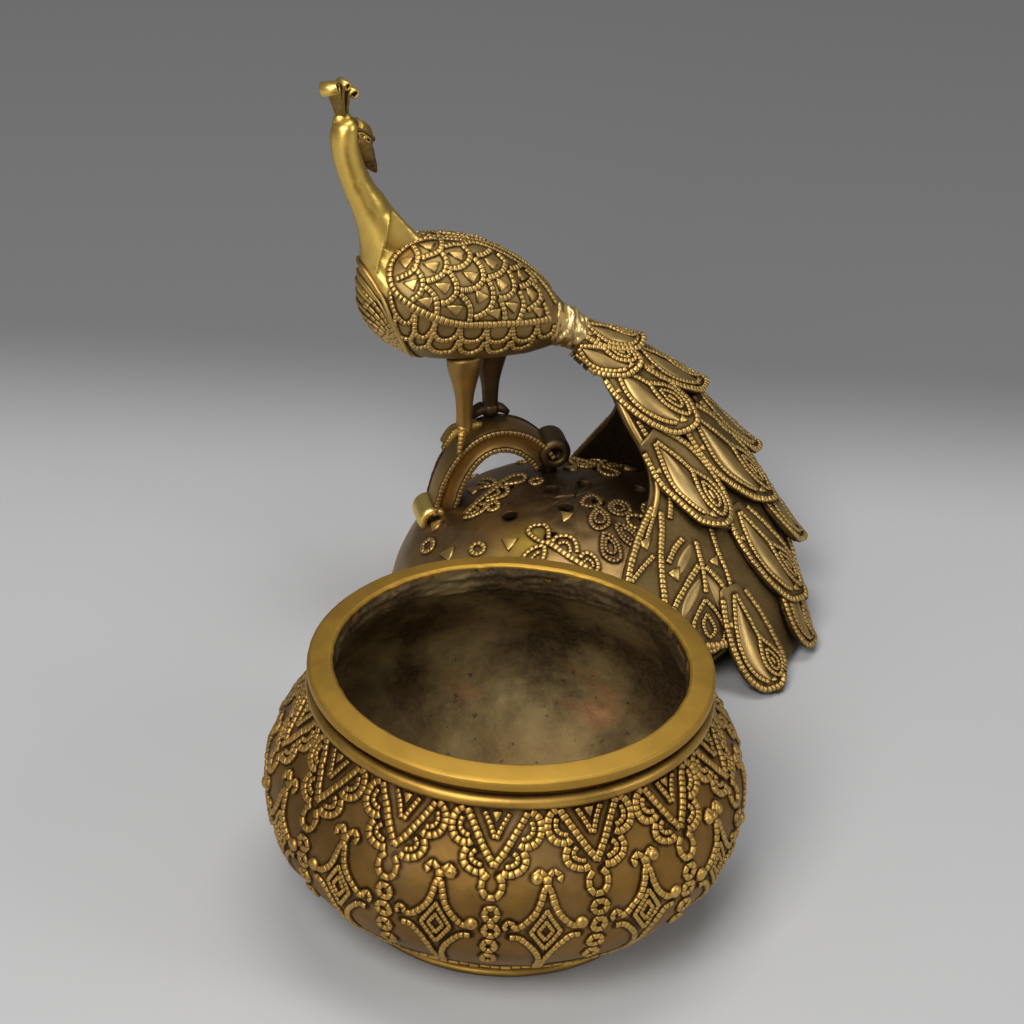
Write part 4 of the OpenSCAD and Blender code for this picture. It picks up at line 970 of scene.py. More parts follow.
def legs():
    # the far leg takes the darker shaded copy of the brass: painted shade
    for name, x0, x1, y, z0, z1, mat in (("near_leg", -0.615, -0.60, -4.4, 1.56, 1.085, M_LEG), ("far_leg", -0.43, -0.413, 4.4, 1.53, 1.08, M_SHADED)):
        B = Build()
        t = np.linspace(0, 1, 26)
        C = np.stack([U*(x0 + (x1 - x0)*t), np.full(26, y), U*(z0 + (z1 - z0)*t)], -1)
        rx = cr([5.6, 5.3, 4.4, 3.5, 2.8, 2.5, 2.4, 2.7], t)
        ry = cr([4.4, 4.2, 3.5, 2.8, 2.4, 2.2, 2.2, 2.4], t)
        X, Y = np.tile([1.0, 0, 0.12], (26, 1)), np.tile([0, 1.0, 0], (26, 1))
        loft(B, bird(C), lid_n(unit(X)), lid_n(Y), rx*0.98, ry*0.98, 24)
        B.make(name + "_shank", "lid", "brass_polished", mat, [name])
    # the far foot takes the darker shaded copy of the brass: painted shade
    for name, x, y, z, toes, mat in (("near_foot", -0.605*U, -4.4, 1.075*U, ((-6.2, -2.6, -4.6), (-5.6, 1.8, -4.2), (-1.6, -3.2, -6.0), (5.6, 0.4, 1.2)), M_LEG),
                                     ("far_foot", -0.413*U, 4.4, 1.095*U, ((-5.6, 1.8, -1.6), (-5.8, -1.4, -1.6), (5.4, 0.2, -1.6)), M_SHADED)):
        B = Build()
        for dx, dy, dz in toes:
            t = np.linspace(0, 1, 14)
            C = np.stack([x + dx*t, y + dy*t, z + dz*t*t + 0.9*np.sin(math.pi*t)], -1)
            d = unit(np.gradient(C, axis=0))
            side = unit(np.cross(d, [0, 0, 1.0]))
            upv = np.cross(side, d)
            r = cr([1.85, 1.75, 1.6, 1.35, 0.8], t)
            loft(B, bird(C), lid_n(side), lid_n(upv), r*0.9, r*0.9, 14)
            q = np.linspace(0.3, 0.98, 14)
            C2 = np.stack([x + dx*q, y + dy*q, z + dz*q*q + 0.9*np.sin(math.pi*q)], -1)
            up2 = cr(upv, q)
            off = cr([1.2, 1.0, 0.55], q)[:, None]
            rope(B, (bird(C2 + up2*off), lid_n(unit(up2))), 2.1, 0.55, 1.15, taper=0.35)
        C = np.stack([np.full(6, x), np.full(6, y), np.linspace(z - 1.6, z + 2.4, 6)], -1)
        loft(B, bird(C), lid_n(np.tile([1.0, 0, 0], (6, 1))), lid_n(np.tile([0, 1.0, 0], (6, 1))), np.array([1.6, 2.3, 2.7, 2.8, 2.6, 2.2]), np.array([1.5, 2.1, 2.5, 2.6, 2.4, 2.1]), 16)
        B.make(name + "_claws", "lid", "brass_polished", mat, [name])


# ------------------------------------------------------------------ body and wings
WING_EDGE = [(0.386, 2), (0.34, 4), (0.295, 8), (0.248, 14), (0.212, 28), (0.203, 44), (0.217, 60), (0.25, 71), (0.298, 79), (0.35, 84), (0.411, 87), (0.47, 89), (0.529, 90), (0.601, 88), (0.677, 85), (0.758, 81), (0.836, 75), (0.905, 66)]
WING_TOP = [(0.386, 2), (0.46, 3), (0.55, 4), (0.66, 6), (0.76, 9), (0.85, 16), (0.93, 32)]
SCALES = [[(0.309, 12), (0.324, 26), (0.317, 38), (0.295, 47), (0.237, 54)], [(0.411, 3), (0.412, 15), (0.388, 25), (0.336, 31)],
          [(0.40, 20), (0.424, 33), (0.419, 45), (0.392, 52), (0.36, 56)], [(0.487, 13), (0.508, 23), (0.50, 32), (0.472, 39), (0.432, 41)],
          [(0.523, 27), (0.552, 37), (0.56, 47), (0.542, 55), (0.509, 59), (0.481, 60)], [(0.309, 42), (0.339, 51), (0.35, 60), (0.343, 70), (0.319, 77)],
          [(0.43, 43), (0.462, 53), (0.47, 63), (0.45, 71), (0.424, 74)], [(0.358, 61), (0.393, 67), (0.412, 75), (0.421, 85)], [(0.484, 63), (0.518, 70), (0.536, 77), (0.542, 87)],
          [(0.575, 45), (0.60, 54), (0.612, 65), (0.597, 76), (0.555, 83)], [(0.62, 12), (0.65, 20), (0.641, 31), (0.612, 40), (0.577, 45)],
          [(0.66, 30), (0.688, 40), (0.69, 51), (0.663, 59), (0.631, 61)], [(0.638, 61), (0.664, 71), (0.681, 81)], [(0.715, 48), (0.742, 58), (0.746, 68), (0.739, 80)],
          [(0.775, 30), (0.822, 38), (0.819, 51), (0.767, 66)], [(0.713, 44), (0.752, 36), (0.776, 24)], [(0.847, 48), (0.874, 58), (0.89, 68)],
          [(0.53, 24), (0.561, 20), (0.592, 11)], [(0.82, 14), (0.872, 22), (0.925, 36)], [(0.418, 16), (0.453, 12), (0.488, 10), (0.52, 5)], [(0.668, 27), (0.70, 21), (0.73, 10)],
          [(0.745, 14), (0.785, 20), (0.80, 27)]]
WING_TRI = [(0.276, 33), (0.374, 40), (0.362, 15), (0.463, 26), (0.514, 46), (0.305, 60), (0.421, 59), (0.372, 75), (0.478, 77), (0.561, 63), (0.588, 29), (0.636, 48), (0.629, 76), (0.695, 66), (0.773, 46), (0.723, 28), (0.821, 63)]
FLANK = [[(0.222, 70), (0.246, 86), (0.28, 98), (0.323, 104), (0.345, 99), (0.352, 86)], [(0.352, 90), (0.371, 108), (0.398, 113), (0.422, 108), (0.43, 92)],
         [(0.423, 90), (0.436, 103), (0.465, 110), (0.499, 109), (0.518, 102), (0.517, 91)], [(0.517, 91), (0.539, 106), (0.574, 109), (0.608, 106), (0.619, 98), (0.618, 89)],
         [(0.618, 89), (0.643, 105), (0.683, 108), (0.713, 105), (0.724, 96), (0.723, 86)], [(0.723, 86), (0.75, 102), (0.802, 106), (0.834, 100), (0.841, 90), (0.838, 78)],
         [(0.838, 80), (0.872, 97), (0.912, 99), (0.94, 90), (0.938, 75)],
         [(0.28, 99), (0.30, 116), (0.34, 124), (0.372, 120), (0.371, 109)],
         [(0.436, 104), (0.44, 120), (0.478, 128), (0.52, 126), (0.535, 118), (0.532, 107)], [(0.535, 107), (0.56, 121), (0.60, 126), (0.63, 120), (0.635, 108)],
         [(0.64, 107), (0.668, 121), (0.70, 125), (0.735, 119), (0.738, 106)], [(0.742, 105), (0.77, 118), (0.81, 120), (0.84, 112), (0.842, 100)],
         [(0.372, 112), (0.38, 124), (0.41, 130), (0.438, 122)]]


def inside(poly, x, y):
    """Whether points are inside a polygon."""
    poly = np.asarray(poly, float)
    r = np.zeros(np.shape(x), bool)
    for i in range(len(poly)):
        (x0, y0), (x1, y1) = poly[i - 1], poly[i]
        hit = ((y0 > y) != (y1 > y)) & (x < (x1 - x0)*(y - y0)/(y1 - y0 + 1e-12) + x0)
        r ^= hit
    return r


def wing_distance(t, a):
    """Rough distance in mm to the wing's outline, negative inside it."""
    fold = np.where(a > 180, 360 - a, a)
    poly = np.concatenate([smooth(WING_EDGE, 4), smooth(WING_TOP, 4)[::-1]])
    poly = np.concatenate([poly, [[0.95, -4], [0.386, -4]]])
    e = smooth(WING_EDGE, 6)
    d = np.min(np.hypot((t[..., None] - e[:, 0])*58, (fold[..., None] - e[:, 1])*D2R*14), -1)
    return np.where(inside(poly, t, fold), -d, d)


class Chest:
    """The outermost surface of body and neck, seen from a point inside the chest (bird's frame, mm)."""

    def __init__(self, neck_mesh):
        t = np.linspace(0.001, 0.75, 90)[:, None]*np.ones((1, 120))
        a = (np.arange(120)*3.0)[None]*np.ones((90, 1))
        P = body_raw(t, a, 0*t)
        V = [P.reshape(-1, 3), neck_mesh[0]]
        F = [grid_faces(90, 120, wrap_v=True), neck_mesh[1] + 90*120]
        self.c = np.array([-0.80*U, 0.0, 1.72*U])
        self.tree = BVHTree.FromPolygons([tuple(map(float, v)) for v in np.concatenate(V)], [tuple(map(int, f)) for f in np.concatenate(F)])

    def hit(self, az, el):
        d = np.array([-math.cos(az*D2R)*math.cos(el*D2R), -math.sin(az*D2R)*math.cos(el*D2R), math.sin(el*D2R)])
        p, n, _, _ = self.tree.ray_cast(Vector(self.c + d*80), Vector(-d), 80)
        return np.array(p) if p is not None else self.c + d*12

    def at(self, az, el, side, lift):
        P, N = [], []
        for a, e in zip(np.ravel(az), np.ravel(el)):
            p = self.hit(a, e)
            q = [self.hit(a + x, e + y) for x, y in ((5, 0), (-5, 0), (0, 5), (0, -5))]
            n = np.cross(q[0] - q[1], q[2] - q[3])
            n = unit(n)
            if np.dot(n, p - self.c) < 0:
                n = -n
            P.append(p + n*lift)
            N.append(n)
        P, N = np.array(P), np.array(N)
        if len(P) > 4:
            k = np.array([0.25, 0.5, 0.25])
            for _ in range(2):
                P[1:-1] = P[:-2]*k[0] + P[1:-1]*k[1] + P[2:]*k[2]
        m = np.array([1, side, 1.0])
        return bird(P*m), lid_n(N*m)


SHIELD = [(0, 45.2), (5, 45.4), (12, 44.8), (22, 42.2), (33.6, 35.1), (42.8, 20.5), (46.5, 7.1), (47.5, -5), (46, -22), (40, -40), (28, -56), (0, -68)]


def body(neck_mesh):
    ropes = {"near": Build(), "far": Build()}
    for side, B in ropes.items():
        ang = (lambda q: q) if side == "near" else (lambda q: 360 - q)
        L = smooth(WING_EDGE, 5)
        rope(B, on_body(L[:, 0], ang(L[:, 1]), 0.45), 2.05, 1.05, 1.45)
        L = smooth([(x - 0.022 if y > 12 and x < 0.5 else x, y + (3.2 if x > 0.3 else 0)) for x, y in WING_EDGE[4:]], 5)
        wire(B, on_body(L[:, 0], ang(L[:, 1]), 0.10), 0.7, 0.45)
        L = smooth(WING_TOP, 5)
        rope(B, on_body(L[:, 0], ang(L[:, 1]), 0.3), 1.4, 0.8, 1.25)
        for S in SCALES:
            L = smooth(S, 6)
            rope(B, on_body(L[:, 0], ang(L[:, 1]), 0.42), 1.75, 0.82, 1.30)
        for tt, aa in WING_TRI:
            c = cr(BODY, np.array([tt]))[0]*U
            rot = rng.normal(0, 0.22)
            q = [(math.cos(g + rot), math.sin(g + rot)) for g in (math.pi/2 - 0.15, math.pi*7/6, -math.pi/6)]
            Pq = np.array([(tt + 2.05/56.0*x, aa + np.degrees(2.05/c[3])*y) for x, y in q])
            P, nn = on_body(Pq[:, 0], ang(Pq[:, 1]), 0.4)
            prism(B, P, nn, 0.85, 0.66)
        for S in FLANK:
            L = smooth(S, 6)
            rope(B, on_body(L[:, 0], ang(L[:, 1]), 0.0), 1.45, 0.8, 1.25)
    # breast shield: two plain bands and rows of small bricks on the chest
    BS = Build()
    chest = Chest(neck_mesh)
    for s in (1, -1):
        L = smooth(SHIELD, 10)
        az, el = L[:, 0], L[:, 1]
        for off, w, h in ((0.0, 1.30, 0.95), (5.5, 0.85, 0.60)):
            PN = chest.at(az, el - off, s, 0.0)
            wire(BS, PN, w, h)
        for row in range(12):
            e = el - 11.0 - 6.2*row
            ok = (e > -78) & (az > -1)
            if ok.sum() > 8:
                rope(BS, chest.at(az[ok], e[ok], s, 0.0), 1.25, 0.55, 2.3 if row % 2 else 1.8, jitter=1.8, groove=0.92)
    B = Build()
    m, n = 210, 340
    t = np.linspace(0, 1, m)[:, None]*np.ones((1, n))
    a = (np.arange(n)*360/n)[None]*np.ones((m, 1))
    lift = 0.45*(wing_distance(t, a) < 0)
    k = np.array([0.25, 0.5, 0.25])
    for _ in range(3):
        lift = sum(np.roll(lift, i - 1, 0)*k[i] for i in range(3))
        lift = sum(np.roll(lift, i - 1, 1)*k[i] for i in range(3))
    lift += noise2(m, n, (16, 30))*0.05
    lift *= np.minimum(1, np.minimum(t, 1 - t)*12)
    P, _ = on_body(t, a, lift)
    tone = patina(P, [ropes["near"], ropes["far"], BS], 0.7, 1.9)
    # the underside of the body is painted darker: painted shade
    fold = np.where(a > 180, 360 - a, a).ravel()
    tone *= 1 - 0.55*np.clip((fold - 100)/45, 0, 1)
    V = np.concatenate([P.reshape(-1, 3), P[0].mean(0)[None], P[-1].mean(0)[None]])
    j = np.arange(n)
    T = np.concatenate([np.stack([np.full(n, m*n), j, (j + 1) % n], -1), np.stack([np.full(n, m*n + 1), (m - 1)*n + (j + 1) % n, (m - 1)*n + j], -1)])
    B.add(V, grid_faces(m, n, wrap_v=True), T, np.concatenate([tone, [0.5, 0.5]]))
    B.make("body", "lid", "brass_antique", M_BODY, ["bird_body"])
    for side, R in ropes.items():
        R.make(side + "_wing_relief", "lid", "brass_ornament", M_ORN, [side + "_wing"])
    BS.make("breast_bricks", "lid", "brass_ornament", M_ORN, ["breast_shield"])


M_BODY = brass("brass_body", (0.46, 0.315, 0.115), (0.31, 0.200, 0.068), (0.030, 0.016, 0.008), rough=(0.34, 0.50), patina=0.5, grain=0.35, use_tone=True, ao=0.0026, ao_pow=1.2)

# ------------------------------------------------------------------ neck, head and crest
NECK = np.array([[-0.965, 0, 1.95, 0.225, 0.25], [-0.99, 0, 2.04, 0.212, 0.228], [-1.022, 0, 2.15, 0.172, 0.193], [-1.075, 0, 2.28, 0.128, 0.14], [-1.14, 0, 2.42, 0.094, 0.105],
                 [-1.219, 0, 2.575, 0.078, 0.085], [-1.276, 0, 2.72, 0.074, 0.078], [-1.301, 0, 2.83, 0.075, 0.077],
                 [-1.303, 0.005, 2.895, 0.076, 0.077], [-1.298, 0.01, 2.940, 0.070, 0.070], [-1.292, 0.01, 2.965, 0.050, 0.050], [-1.288, 0.01, 2.979, 0.022, 0.022], [-1.287, 0.01, 2.982, 0.003, 0.003]])


FACE = np.array([[-1.250, 0.026, 2.915], [-1.228, 0.042, 2.872], [-1.219, 0.050, 2.822], [-1.206, 0.056, 2.777], [-1.178, 0.063, 2.735], [-1.158, 0.069, 2.698], [-1.136, 0.075, 2.661], [-1.117, 0.080, 2.630], [-1.106, 0.083, 2.612]])
FACE_R = np.array([[0.050, 0.060], [0.078, 0.080], [0.082, 0.076], [0.073, 0.066], [0.056, 0.050], [0.043, 0.036], [0.031, 0.024], [0.016, 0.012], [0.002, 0.002]])


def plume(B, base, centre, R, w, hw0, hw1, turn, thick):
    """A ribbon that rises from base and rolls up round centre; w is the roll's axis."""
    w = unit(np.array(w, float))
    base, centre = np.array(base, float)*U, np.array(centre, float)*U
    s_ = (centre - base) - w*np.dot(centre - base, w)
    # the ribbon reaches the roll on its far side
    for _ in range(3):
        s1 = unit(s_)
        f = np.cross(w, s1)
        s_ = (centre - f*R - base)
        s_ = s_ - w*np.dot(s_, w)
    top = centre - f*R
    th = np.linspace(0, turn, 56)
    rr = R*(1 - 0.55*(th/turn)**1.3)
    arc = centre[None] - f*(rr*np.cos(th))[:, None] + s1*(rr*np.sin(th))[:, None]
    q = np.linspace(0, 1, 24, endpoint=False)[:, None]
    stem = base + (top - base)*q - f*(0.35*np.sin(math.pi*q))
    P = np.concatenate([stem, arc])
    n = len(P)
    g = np.clip(np.arange(n)/36.0, 0, 1)
    hw = hw0 + (hw1 - hw0)*g*g*(3 - 2*g)
    hw[24:] *= 1 - 0.12*np.linspace(0, 1, n - 24)
    d = unit(np.gradient(P, axis=0))
    nn = unit(np.cross(np.tile(w, (n, 1)), d))
    sec = [(-1, 0.3), (-0.96, 1.0), (-0.86, 1.0), (-0.72, 0.72), (0, 0.55), (0.72, 0.72), (0.86, 1.0), (0.96, 1.0), (1, 0.3), (1, -0.5), (0.94, -0.9), (0, -0.9), (-0.94, -0.9), (-1, -0.5)]
    ring = np.stack([P + w*(hw[:, None]*a) + nn*(thick*b) for a, b in sec], 1)
    # the ribbon's tone is low on its stem and at the inner end of its roll: painted shade
    tone = np.concatenate([np.linspace(0.08, 0.22, 24), np.interp(np.arange(56), [0, 8, 14, 34, 55], [0.25, 0.6, 1.0, 0.9, 0.15])])
    tube_rings(B, bird(ring), tone)


def neck():
    B = Build()
    m, n = 260, 110
    t = np.linspace(0, 1, m)
    q = cr(NECK, t)*U
    d = np.gradient(q[:, :3], axis=0)
    f = unit(np.stack([-d[:, 2], np.zeros(m), d[:, 0]], -1))
    f[q[:, 2] > 2.86*U] = f[np.argmax(q[:, 2] > 2.86*U) - 1]
    for _ in range(3):
        f = unit(np.stack([np.convolve(np.pad(f[:, k], 9, mode="edge"), np.ones(19)/19, "valid") for k in range(3)], -1))
    th = np.arange(n)*2*math.pi/n
    R = q[:, None, :3] + f[:, None]*(q[:, 4:5]*np.cos(th))[..., None] + np.array([0, 1.0, 0])*(q[:, 3:4]*np.sin(th))[..., None]
    R = R + unit(R - q[:, None, :3])*(noise2(m, n, (22, 6))*0.10 + noise2(m, n, (60, 14))*0.035)[..., None]*np.interp(t, [0, 0.42, 0.58, 0.97, 1], [1, 1, 0.12, 0.05, 0])[:, None, None]
    # where the wing lies over it, the neck goes down under the wing's border
    low = t < 0.42
    tb, ab, lb = body_coords(R[low])
    dist = wing_distance(tb, ab)
    fold_ = np.where(ab > 180, 360 - ab, ab)
    free = np.clip((13 - fold_)/9, 0, 1)
    slope = np.where(dist < 0, 0.40 + 1.5*dist, 0.40 + 0.88*dist)
    lbp = np.maximum(lb, 0)
    kk = np.clip(0.3 + 1.1*lbp, 0.3, 6.0)
    h_ = np.clip(0.5 + 0.5*(slope - lbp)/kk, 0, 1)
    allowed = np.maximum(slope*(1 - h_) + lbp*h_ - kk*h_*(1 - h_), -0.5)
    allowed = allowed + (np.maximum(lb, 0) - allowed)*free*np.clip((0.40 - tb)/0.03, 0, 1)
    cut = (lb > allowed) & (tb > 0.10)
    Rl = R[low]
    Rl[cut] = body_raw(tb[cut], ab[cut], allowed[cut])
    R[low] = Rl
    k_ = int(low.sum()) + 40
    neck_mesh = (R[:k_].reshape(-1, 3).copy(), grid_faces(k_, n, wrap_v=True))
    # the upper neck and head are painted darker on the face's side, turned towards the tail: painted shade
    head = np.clip((t - 0.70)/0.10, 0, 1)[:, None]
    face_side = np.clip((-np.cos(th) - 0.25)/0.5, 0, 1)[None]
    tone = 1 - 0.82*head*head*(3 - 2*head)*face_side
    V = np.concatenate([bird(R).reshape(-1, 3), bird(R[0].mean(0))[None], bird(R[-1].mean(0))[None]])
    j = np.arange(n)
    T = np.concatenate([np.stack([np.full(n, m*n), j, (j + 1) % n], -1), np.stack([np.full(n, m*n + 1), (m - 1)*n + (j + 1) % n, (m - 1)*n + j], -1)])
    B.add(V, grid_faces(m, n, wrap_v=True), T, np.concatenate([tone.ravel(), [1, 1]]))
    tt = np.linspace(0, 1, 60)
    c, r = cr(FACE, tt)*U, cr(FACE_R, tt)*U
    d = unit(np.gradient(c, axis=0))
    side = unit(np.cross(d, np.tile([0, -1.0, 0], (60, 1))))
    y = np.cross(side, d)
    th = np.arange(48)*2*math.pi/48
    # beak: creased along its sides, ridged on top; its tone is low, lowest towards the tip: painted shade on the face
    crease = np.clip((tt - 0.42)/0.2, 0, 1)[:, None]*0.10*np.exp(-((np.abs(np.sin(th)) - 1)/0.05)**2)[None]
    rr = 1 - crease
    R2 = c[:, None] + side[:, None]*(r[:, :1]*np.cos(th)*rr)[..., None] + y[:, None]*(r[:, 1:]*np.sin(th)*rr)[..., None]
    tube_rings(B, bird(R2), np.interp(tt, [0, 0.15, 0.5, 0.62, 1], [0.45, 0.26, 0.20, 0.05, 0.03]))
    B.make("neck_head", "lid", "brass_polished", M_POL, ["neck_and_head"])
    B = Build()
    for s in (-1, 1):
        nrm = unit(np.array([0.20, s*1.0, 0.18]))
        base = np.array([-1.212, 0.046, 2.862])*U + nrm*np.array([0.074, 0.076, 0.074])*U
        ex = unit(np.array([0.80, 0, -0.60]) - nrm*np.dot([0.80, 0, -0.60], nrm))
        ey = np.cross(nrm, ex)*s
        a = np.linspace(0, 2*math.pi, 26, endpoint=False)
        L = np.stack([1.9*np.cos(a), 0.95*np.sin(a)*(1 - 0.25*np.cos(a))], -1)
        P = base + ex*L[:, :1] + ey*L[:, 1:]
        rope(B, (bird(P), lid_n(np.tile(nrm, (26, 1)))), 0.6, 0.45, 4.0, closed=True, jitter=0.2, groove=1.0)
        pellet(B, bird(base), lid_n(nrm), 0.8, flat=0.8)
        a = np.linspace(0.25, 2.9, 18)
        L = np.stack([2.9*np.cos(a), 1.9*np.sin(a)], -1)
        P = base + ex*L[:, :1] - ey*L[:, 1:] - nrm*0.3
        rope(B, (bird(P), lid_n(np.tile(nrm, (18, 1)))), 0.9, 0.6, 5.0, jitter=0.2, groove=1.0, tone=0.15)
    B.make("eyes", "lid", "brass_ornament", M_ORN)
    # crest: ribbons that flare and roll over at the top
    B = Build()
    plume(B, (-1.316, 0.004, 2.945), (-1.394, -0.045, 3.176), 2.15, (0.86, -0.38, 0.32), 1.25, 2.60, 7.2, 0.40)
    plume(B, (-1.300, 0.014, 2.948), (-1.312, 0.020, 3.168), 1.30, (-0.50, 0.85, 0.10), 0.9, 2.0, 7.4, 0.36)
    plume(B, (-1.288, 0.026, 2.945), (-1.266, 0.040, 3.112), 1.60, (-0.42, 0.90, 0.10), 0.8, 2.0, 5.9, 0.36)
    a = np.linspace(0, 2*math.pi, 24, endpoint=False)
    R_ = []
    for zz, r1, r2 in ((2.945, 2.9, 2.0), (2.975, 2.7, 1.8), (2.990, 2.3, 1.5), (3.002, 1.5, 0.9), (3.006, 0.2, 0.1)):
        R_.append(np.stack([-1.312*U + r1*np.cos(a), 0.020*U + r2*np.sin(a), np.full(24, zz*U)], -1))
    tube_rings(B, bird(np.array(R_)), np.array([0.5, 0.6, 0.6, 0.5, 0.5]))
    B.make("crest", "lid", "brass_polished", M_POL, ["crest_plumes"])
    # collar between body and tail: rough solder
    B = Build()
    t = np.linspace(0, 1, 40)
    c = np.stack([U*(-0.17 + 0.25*t), np.zeros(40), U*(1.702 - 0.105*t)], -1)
    rz = U*cr([0.150, 0.135, 0.118, 0.110, 0.100, 0.085], t)
    ry = U*cr([0.128, 0.118, 0.106, 0.105, 0.112, 0.10], t)
    n = 56
    th = np.arange(n)*2*math.pi/n
    bump_ = noise2(40, n, (9, 14))*0.45 + noise2(40, n, (20, 34))*0.22
    R = c[:, None] + np.array([0.22, 0, 1.0])*((rz[:, None] + bump_)*np.cos(th))[..., None] + np.array([0, 1.0, 0])*((ry[:, None] + bump_)*np.sin(th))[..., None]
    tube_rings(B, bird(R), np.ones(40))
    B.make("collar", "lid", "brass_polished", M_SOLDER, ["tail_collar"])
    return neck_mesh


# ------------------------------------------------------------------ tail
# feathers: root (u, v), tip (u, v), half width mm, mirrored pattern, tip lift mm
TIERS = {
    "tail_tier_1": [((0.05, -0.86), (0.238, -0.50), 6.2, 0, 1.5), ((0.06, -0.20), (0.215, 0.02), 5.6, 0, 2.0), ((0.05, 0.75), (0.22, 0.55), 6.0, 1, 1.5)],
    "tail_tier_2": [((0.185, -0.80), (0.448, -0.53), 8.2, 0, 2.0), ((0.19, -0.20), (0.415, 0.05), 7.6, 0, 3.0), ((0.185, 0.62), (0.44, 0.55), 8.0, 1, 2.4)],
    "tail_tier_3": [((0.45, -0.90), (0.715, -0.66), 8.6, 0, 2.2), ((0.40, -0.50), (0.695, -0.335), 8.8, 0, 2.6), ((0.39, -0.06), (0.625, 0.05), 8.4, 0, 3.6),
                    ((0.40, 0.36), (0.68, 0.38), 8.8, 1, 3.0), ((0.44, 0.80), (0.71, 0.74), 8.6, 1, 2.4)],
    "tail_tier_4": [((0.66, -0.58), (0.885, -0.35), 8.8, 0, 2.8), ((0.62, -0.24), (0.83, -0.12), 8.6, 0, 4.2), ((0.62, 0.12), (0.86, 0.14), 8.8, 1, 3.6),
                    ((0.64, 0.42), (0.885, 0.44), 8.8, 1, 3.0), ((0.66, 0.78), (0.90, 0.74), 8.6, 1, 2.4)],
    "tail_tier_5": [((0.815, -0.66), (1.0, -0.53), 8.6, 0, 2.2), ((0.80, -0.40), (0.995, -0.32), 8.4, 0, 3.4), ((0.80, -0.10), (0.985, -0.06), 8.4, 0, 3.4), ((0.81, 0.22), (0.995, 0.24), 8.6, 1, 3.0),
                    ((0.82, 0.50), (0.995, 0.54), 8.6, 1, 2.4), ((0.83, 0.80), (0.985, 0.82), 8.0, 1, 1.6)],
}
OUT_S = np.array([0, 0.06, 0.16, 0.3, 0.45, 0.6, 0.72, 0.82, 0.9, 0.955, 0.985, 1.0])
OUT_W = np.array([0.42, 0.52, 0.68, 0.86, 0.97, 1.0, 0.97, 0.86, 0.66, 0.42, 0.22, 0.02])


class Feather:
    def __init__(self, root, tip, hw, flip, lift, base):
        self.root, self.tip, self.hw, self.flip, self.up, self.base = np.array(root, float), np.array(tip, float), hw, flip, lift, base

    def at(self, s, w, lift=0.0):
        """s along (0..1), w across (-1..1 at the outline): point and normal in the row frame, on top of the leaf."""
        s, w = np.broadcast_arrays(np.asarray(s, float), np.asarray(w, float))
        uv = self.root + (self.tip - self.root)*s[..., None]
        p, n, du, dv = on_cape(uv[..., 0], uv[..., 1], 0.0, world=False)
        du, dv = du/0.024, dv/0.024
        ax = unit((self.tip - self.root)[0]*du + (self.tip - self.root)[1]*dv)
        side = np.cross(n, ax)
        side = side*np.where((side*dv).sum(-1, keepdims=True) < 0, -1, 1)
        off = w*np.interp(s, OUT_S, OUT_W)*self.hw
        a11, a12, a22 = (du*du).sum(-1), (du*dv).sum(-1), (dv*dv).sum(-1)
        b1, b2 = (du*side).sum(-1)*off, (dv*side).sum(-1)*off
        det = a11*a22 - a12*a12
        uv = uv + np.stack([(a22*b1 - a12*b2)/det, (a11*b2 - a12*b1)/det], -1)
        h = self.base + self.up*np.clip(s, 0, 1.2)**2.2 + 1.0*np.clip((s - 0.86)/0.14, 0, 1.2)**2 - 0.9*w*w*(0.4 + 0.6*s)
        q, nn, _, _ = on_cape(uv[..., 0], np.clip(uv[..., 1], -1.06, 1.06), h, world=False)
        q[..., 2] = np.maximum(q[..., 2], 0.9)
        return lid(q + nn*np.asarray(lift)[..., None]), lid_n(nn)

    def line(self, L, lift=0.0, per=5, sign=None):
        P = smooth(L, per)
        g = (-1 if self.flip else 1) if sign is None else sign
        return self.true(P[:, 0], P[:, 1]*g, lift)

    def true(self, s, w, lift=0.0):
        P, _ = self.at(s, w, lift)
        e = 0.02
        a, b = self.at(s + e, w)[0] - self.at(s - e, w)[0], self.at(s, w + e)[0] - self.at(s, w - e)[0]
        n = unit(np.cross(a, b))
        _, n0 = self.at(s, w)
        return P, n*np.where((n*n0).sum(-1, keepdims=True) < 0, -1, 1)


def lens(B, fn, c0, c1, bend, half, height, n=26):
    """A smooth raised leaf panel: fn(s, w) gives points and normals; from c0 to c1, bowed by bend."""
    q = np.linspace(0, 1, n)
    c0, c1 = np.array(c0, float), np.array(c1, float)
    c = c0 + (c1 - c0)*q[:, None]
    c[:, 1] += bend*np.sin(math.pi*q)
    wide = half*np.sin(math.pi*np.clip(q*0.98 + 0.01, 0, 1))**0.7
    tall = height*np.sin(math.pi*np.clip(q*0.98 + 0.01, 0, 1))**0.6
    rows = []
    for a, hgt in ((-1, -0.30), (-0.97, 0.15), (-0.82, 0.52), (-0.5, 0.82), (0, 1.0), (0.5, 0.82), (0.82, 0.52), (0.97, 0.15), (1, -0.30)):
        P, nn = fn(c[:, 0], c[:, 1] + wide*a)
        rows.append(P + nn*(hgt*tall - 0.10)[:, None])
    R = np.stack(rows, 1)
    B.add(R.reshape(-1, 3), grid_faces(n, 9), None, 1.0)


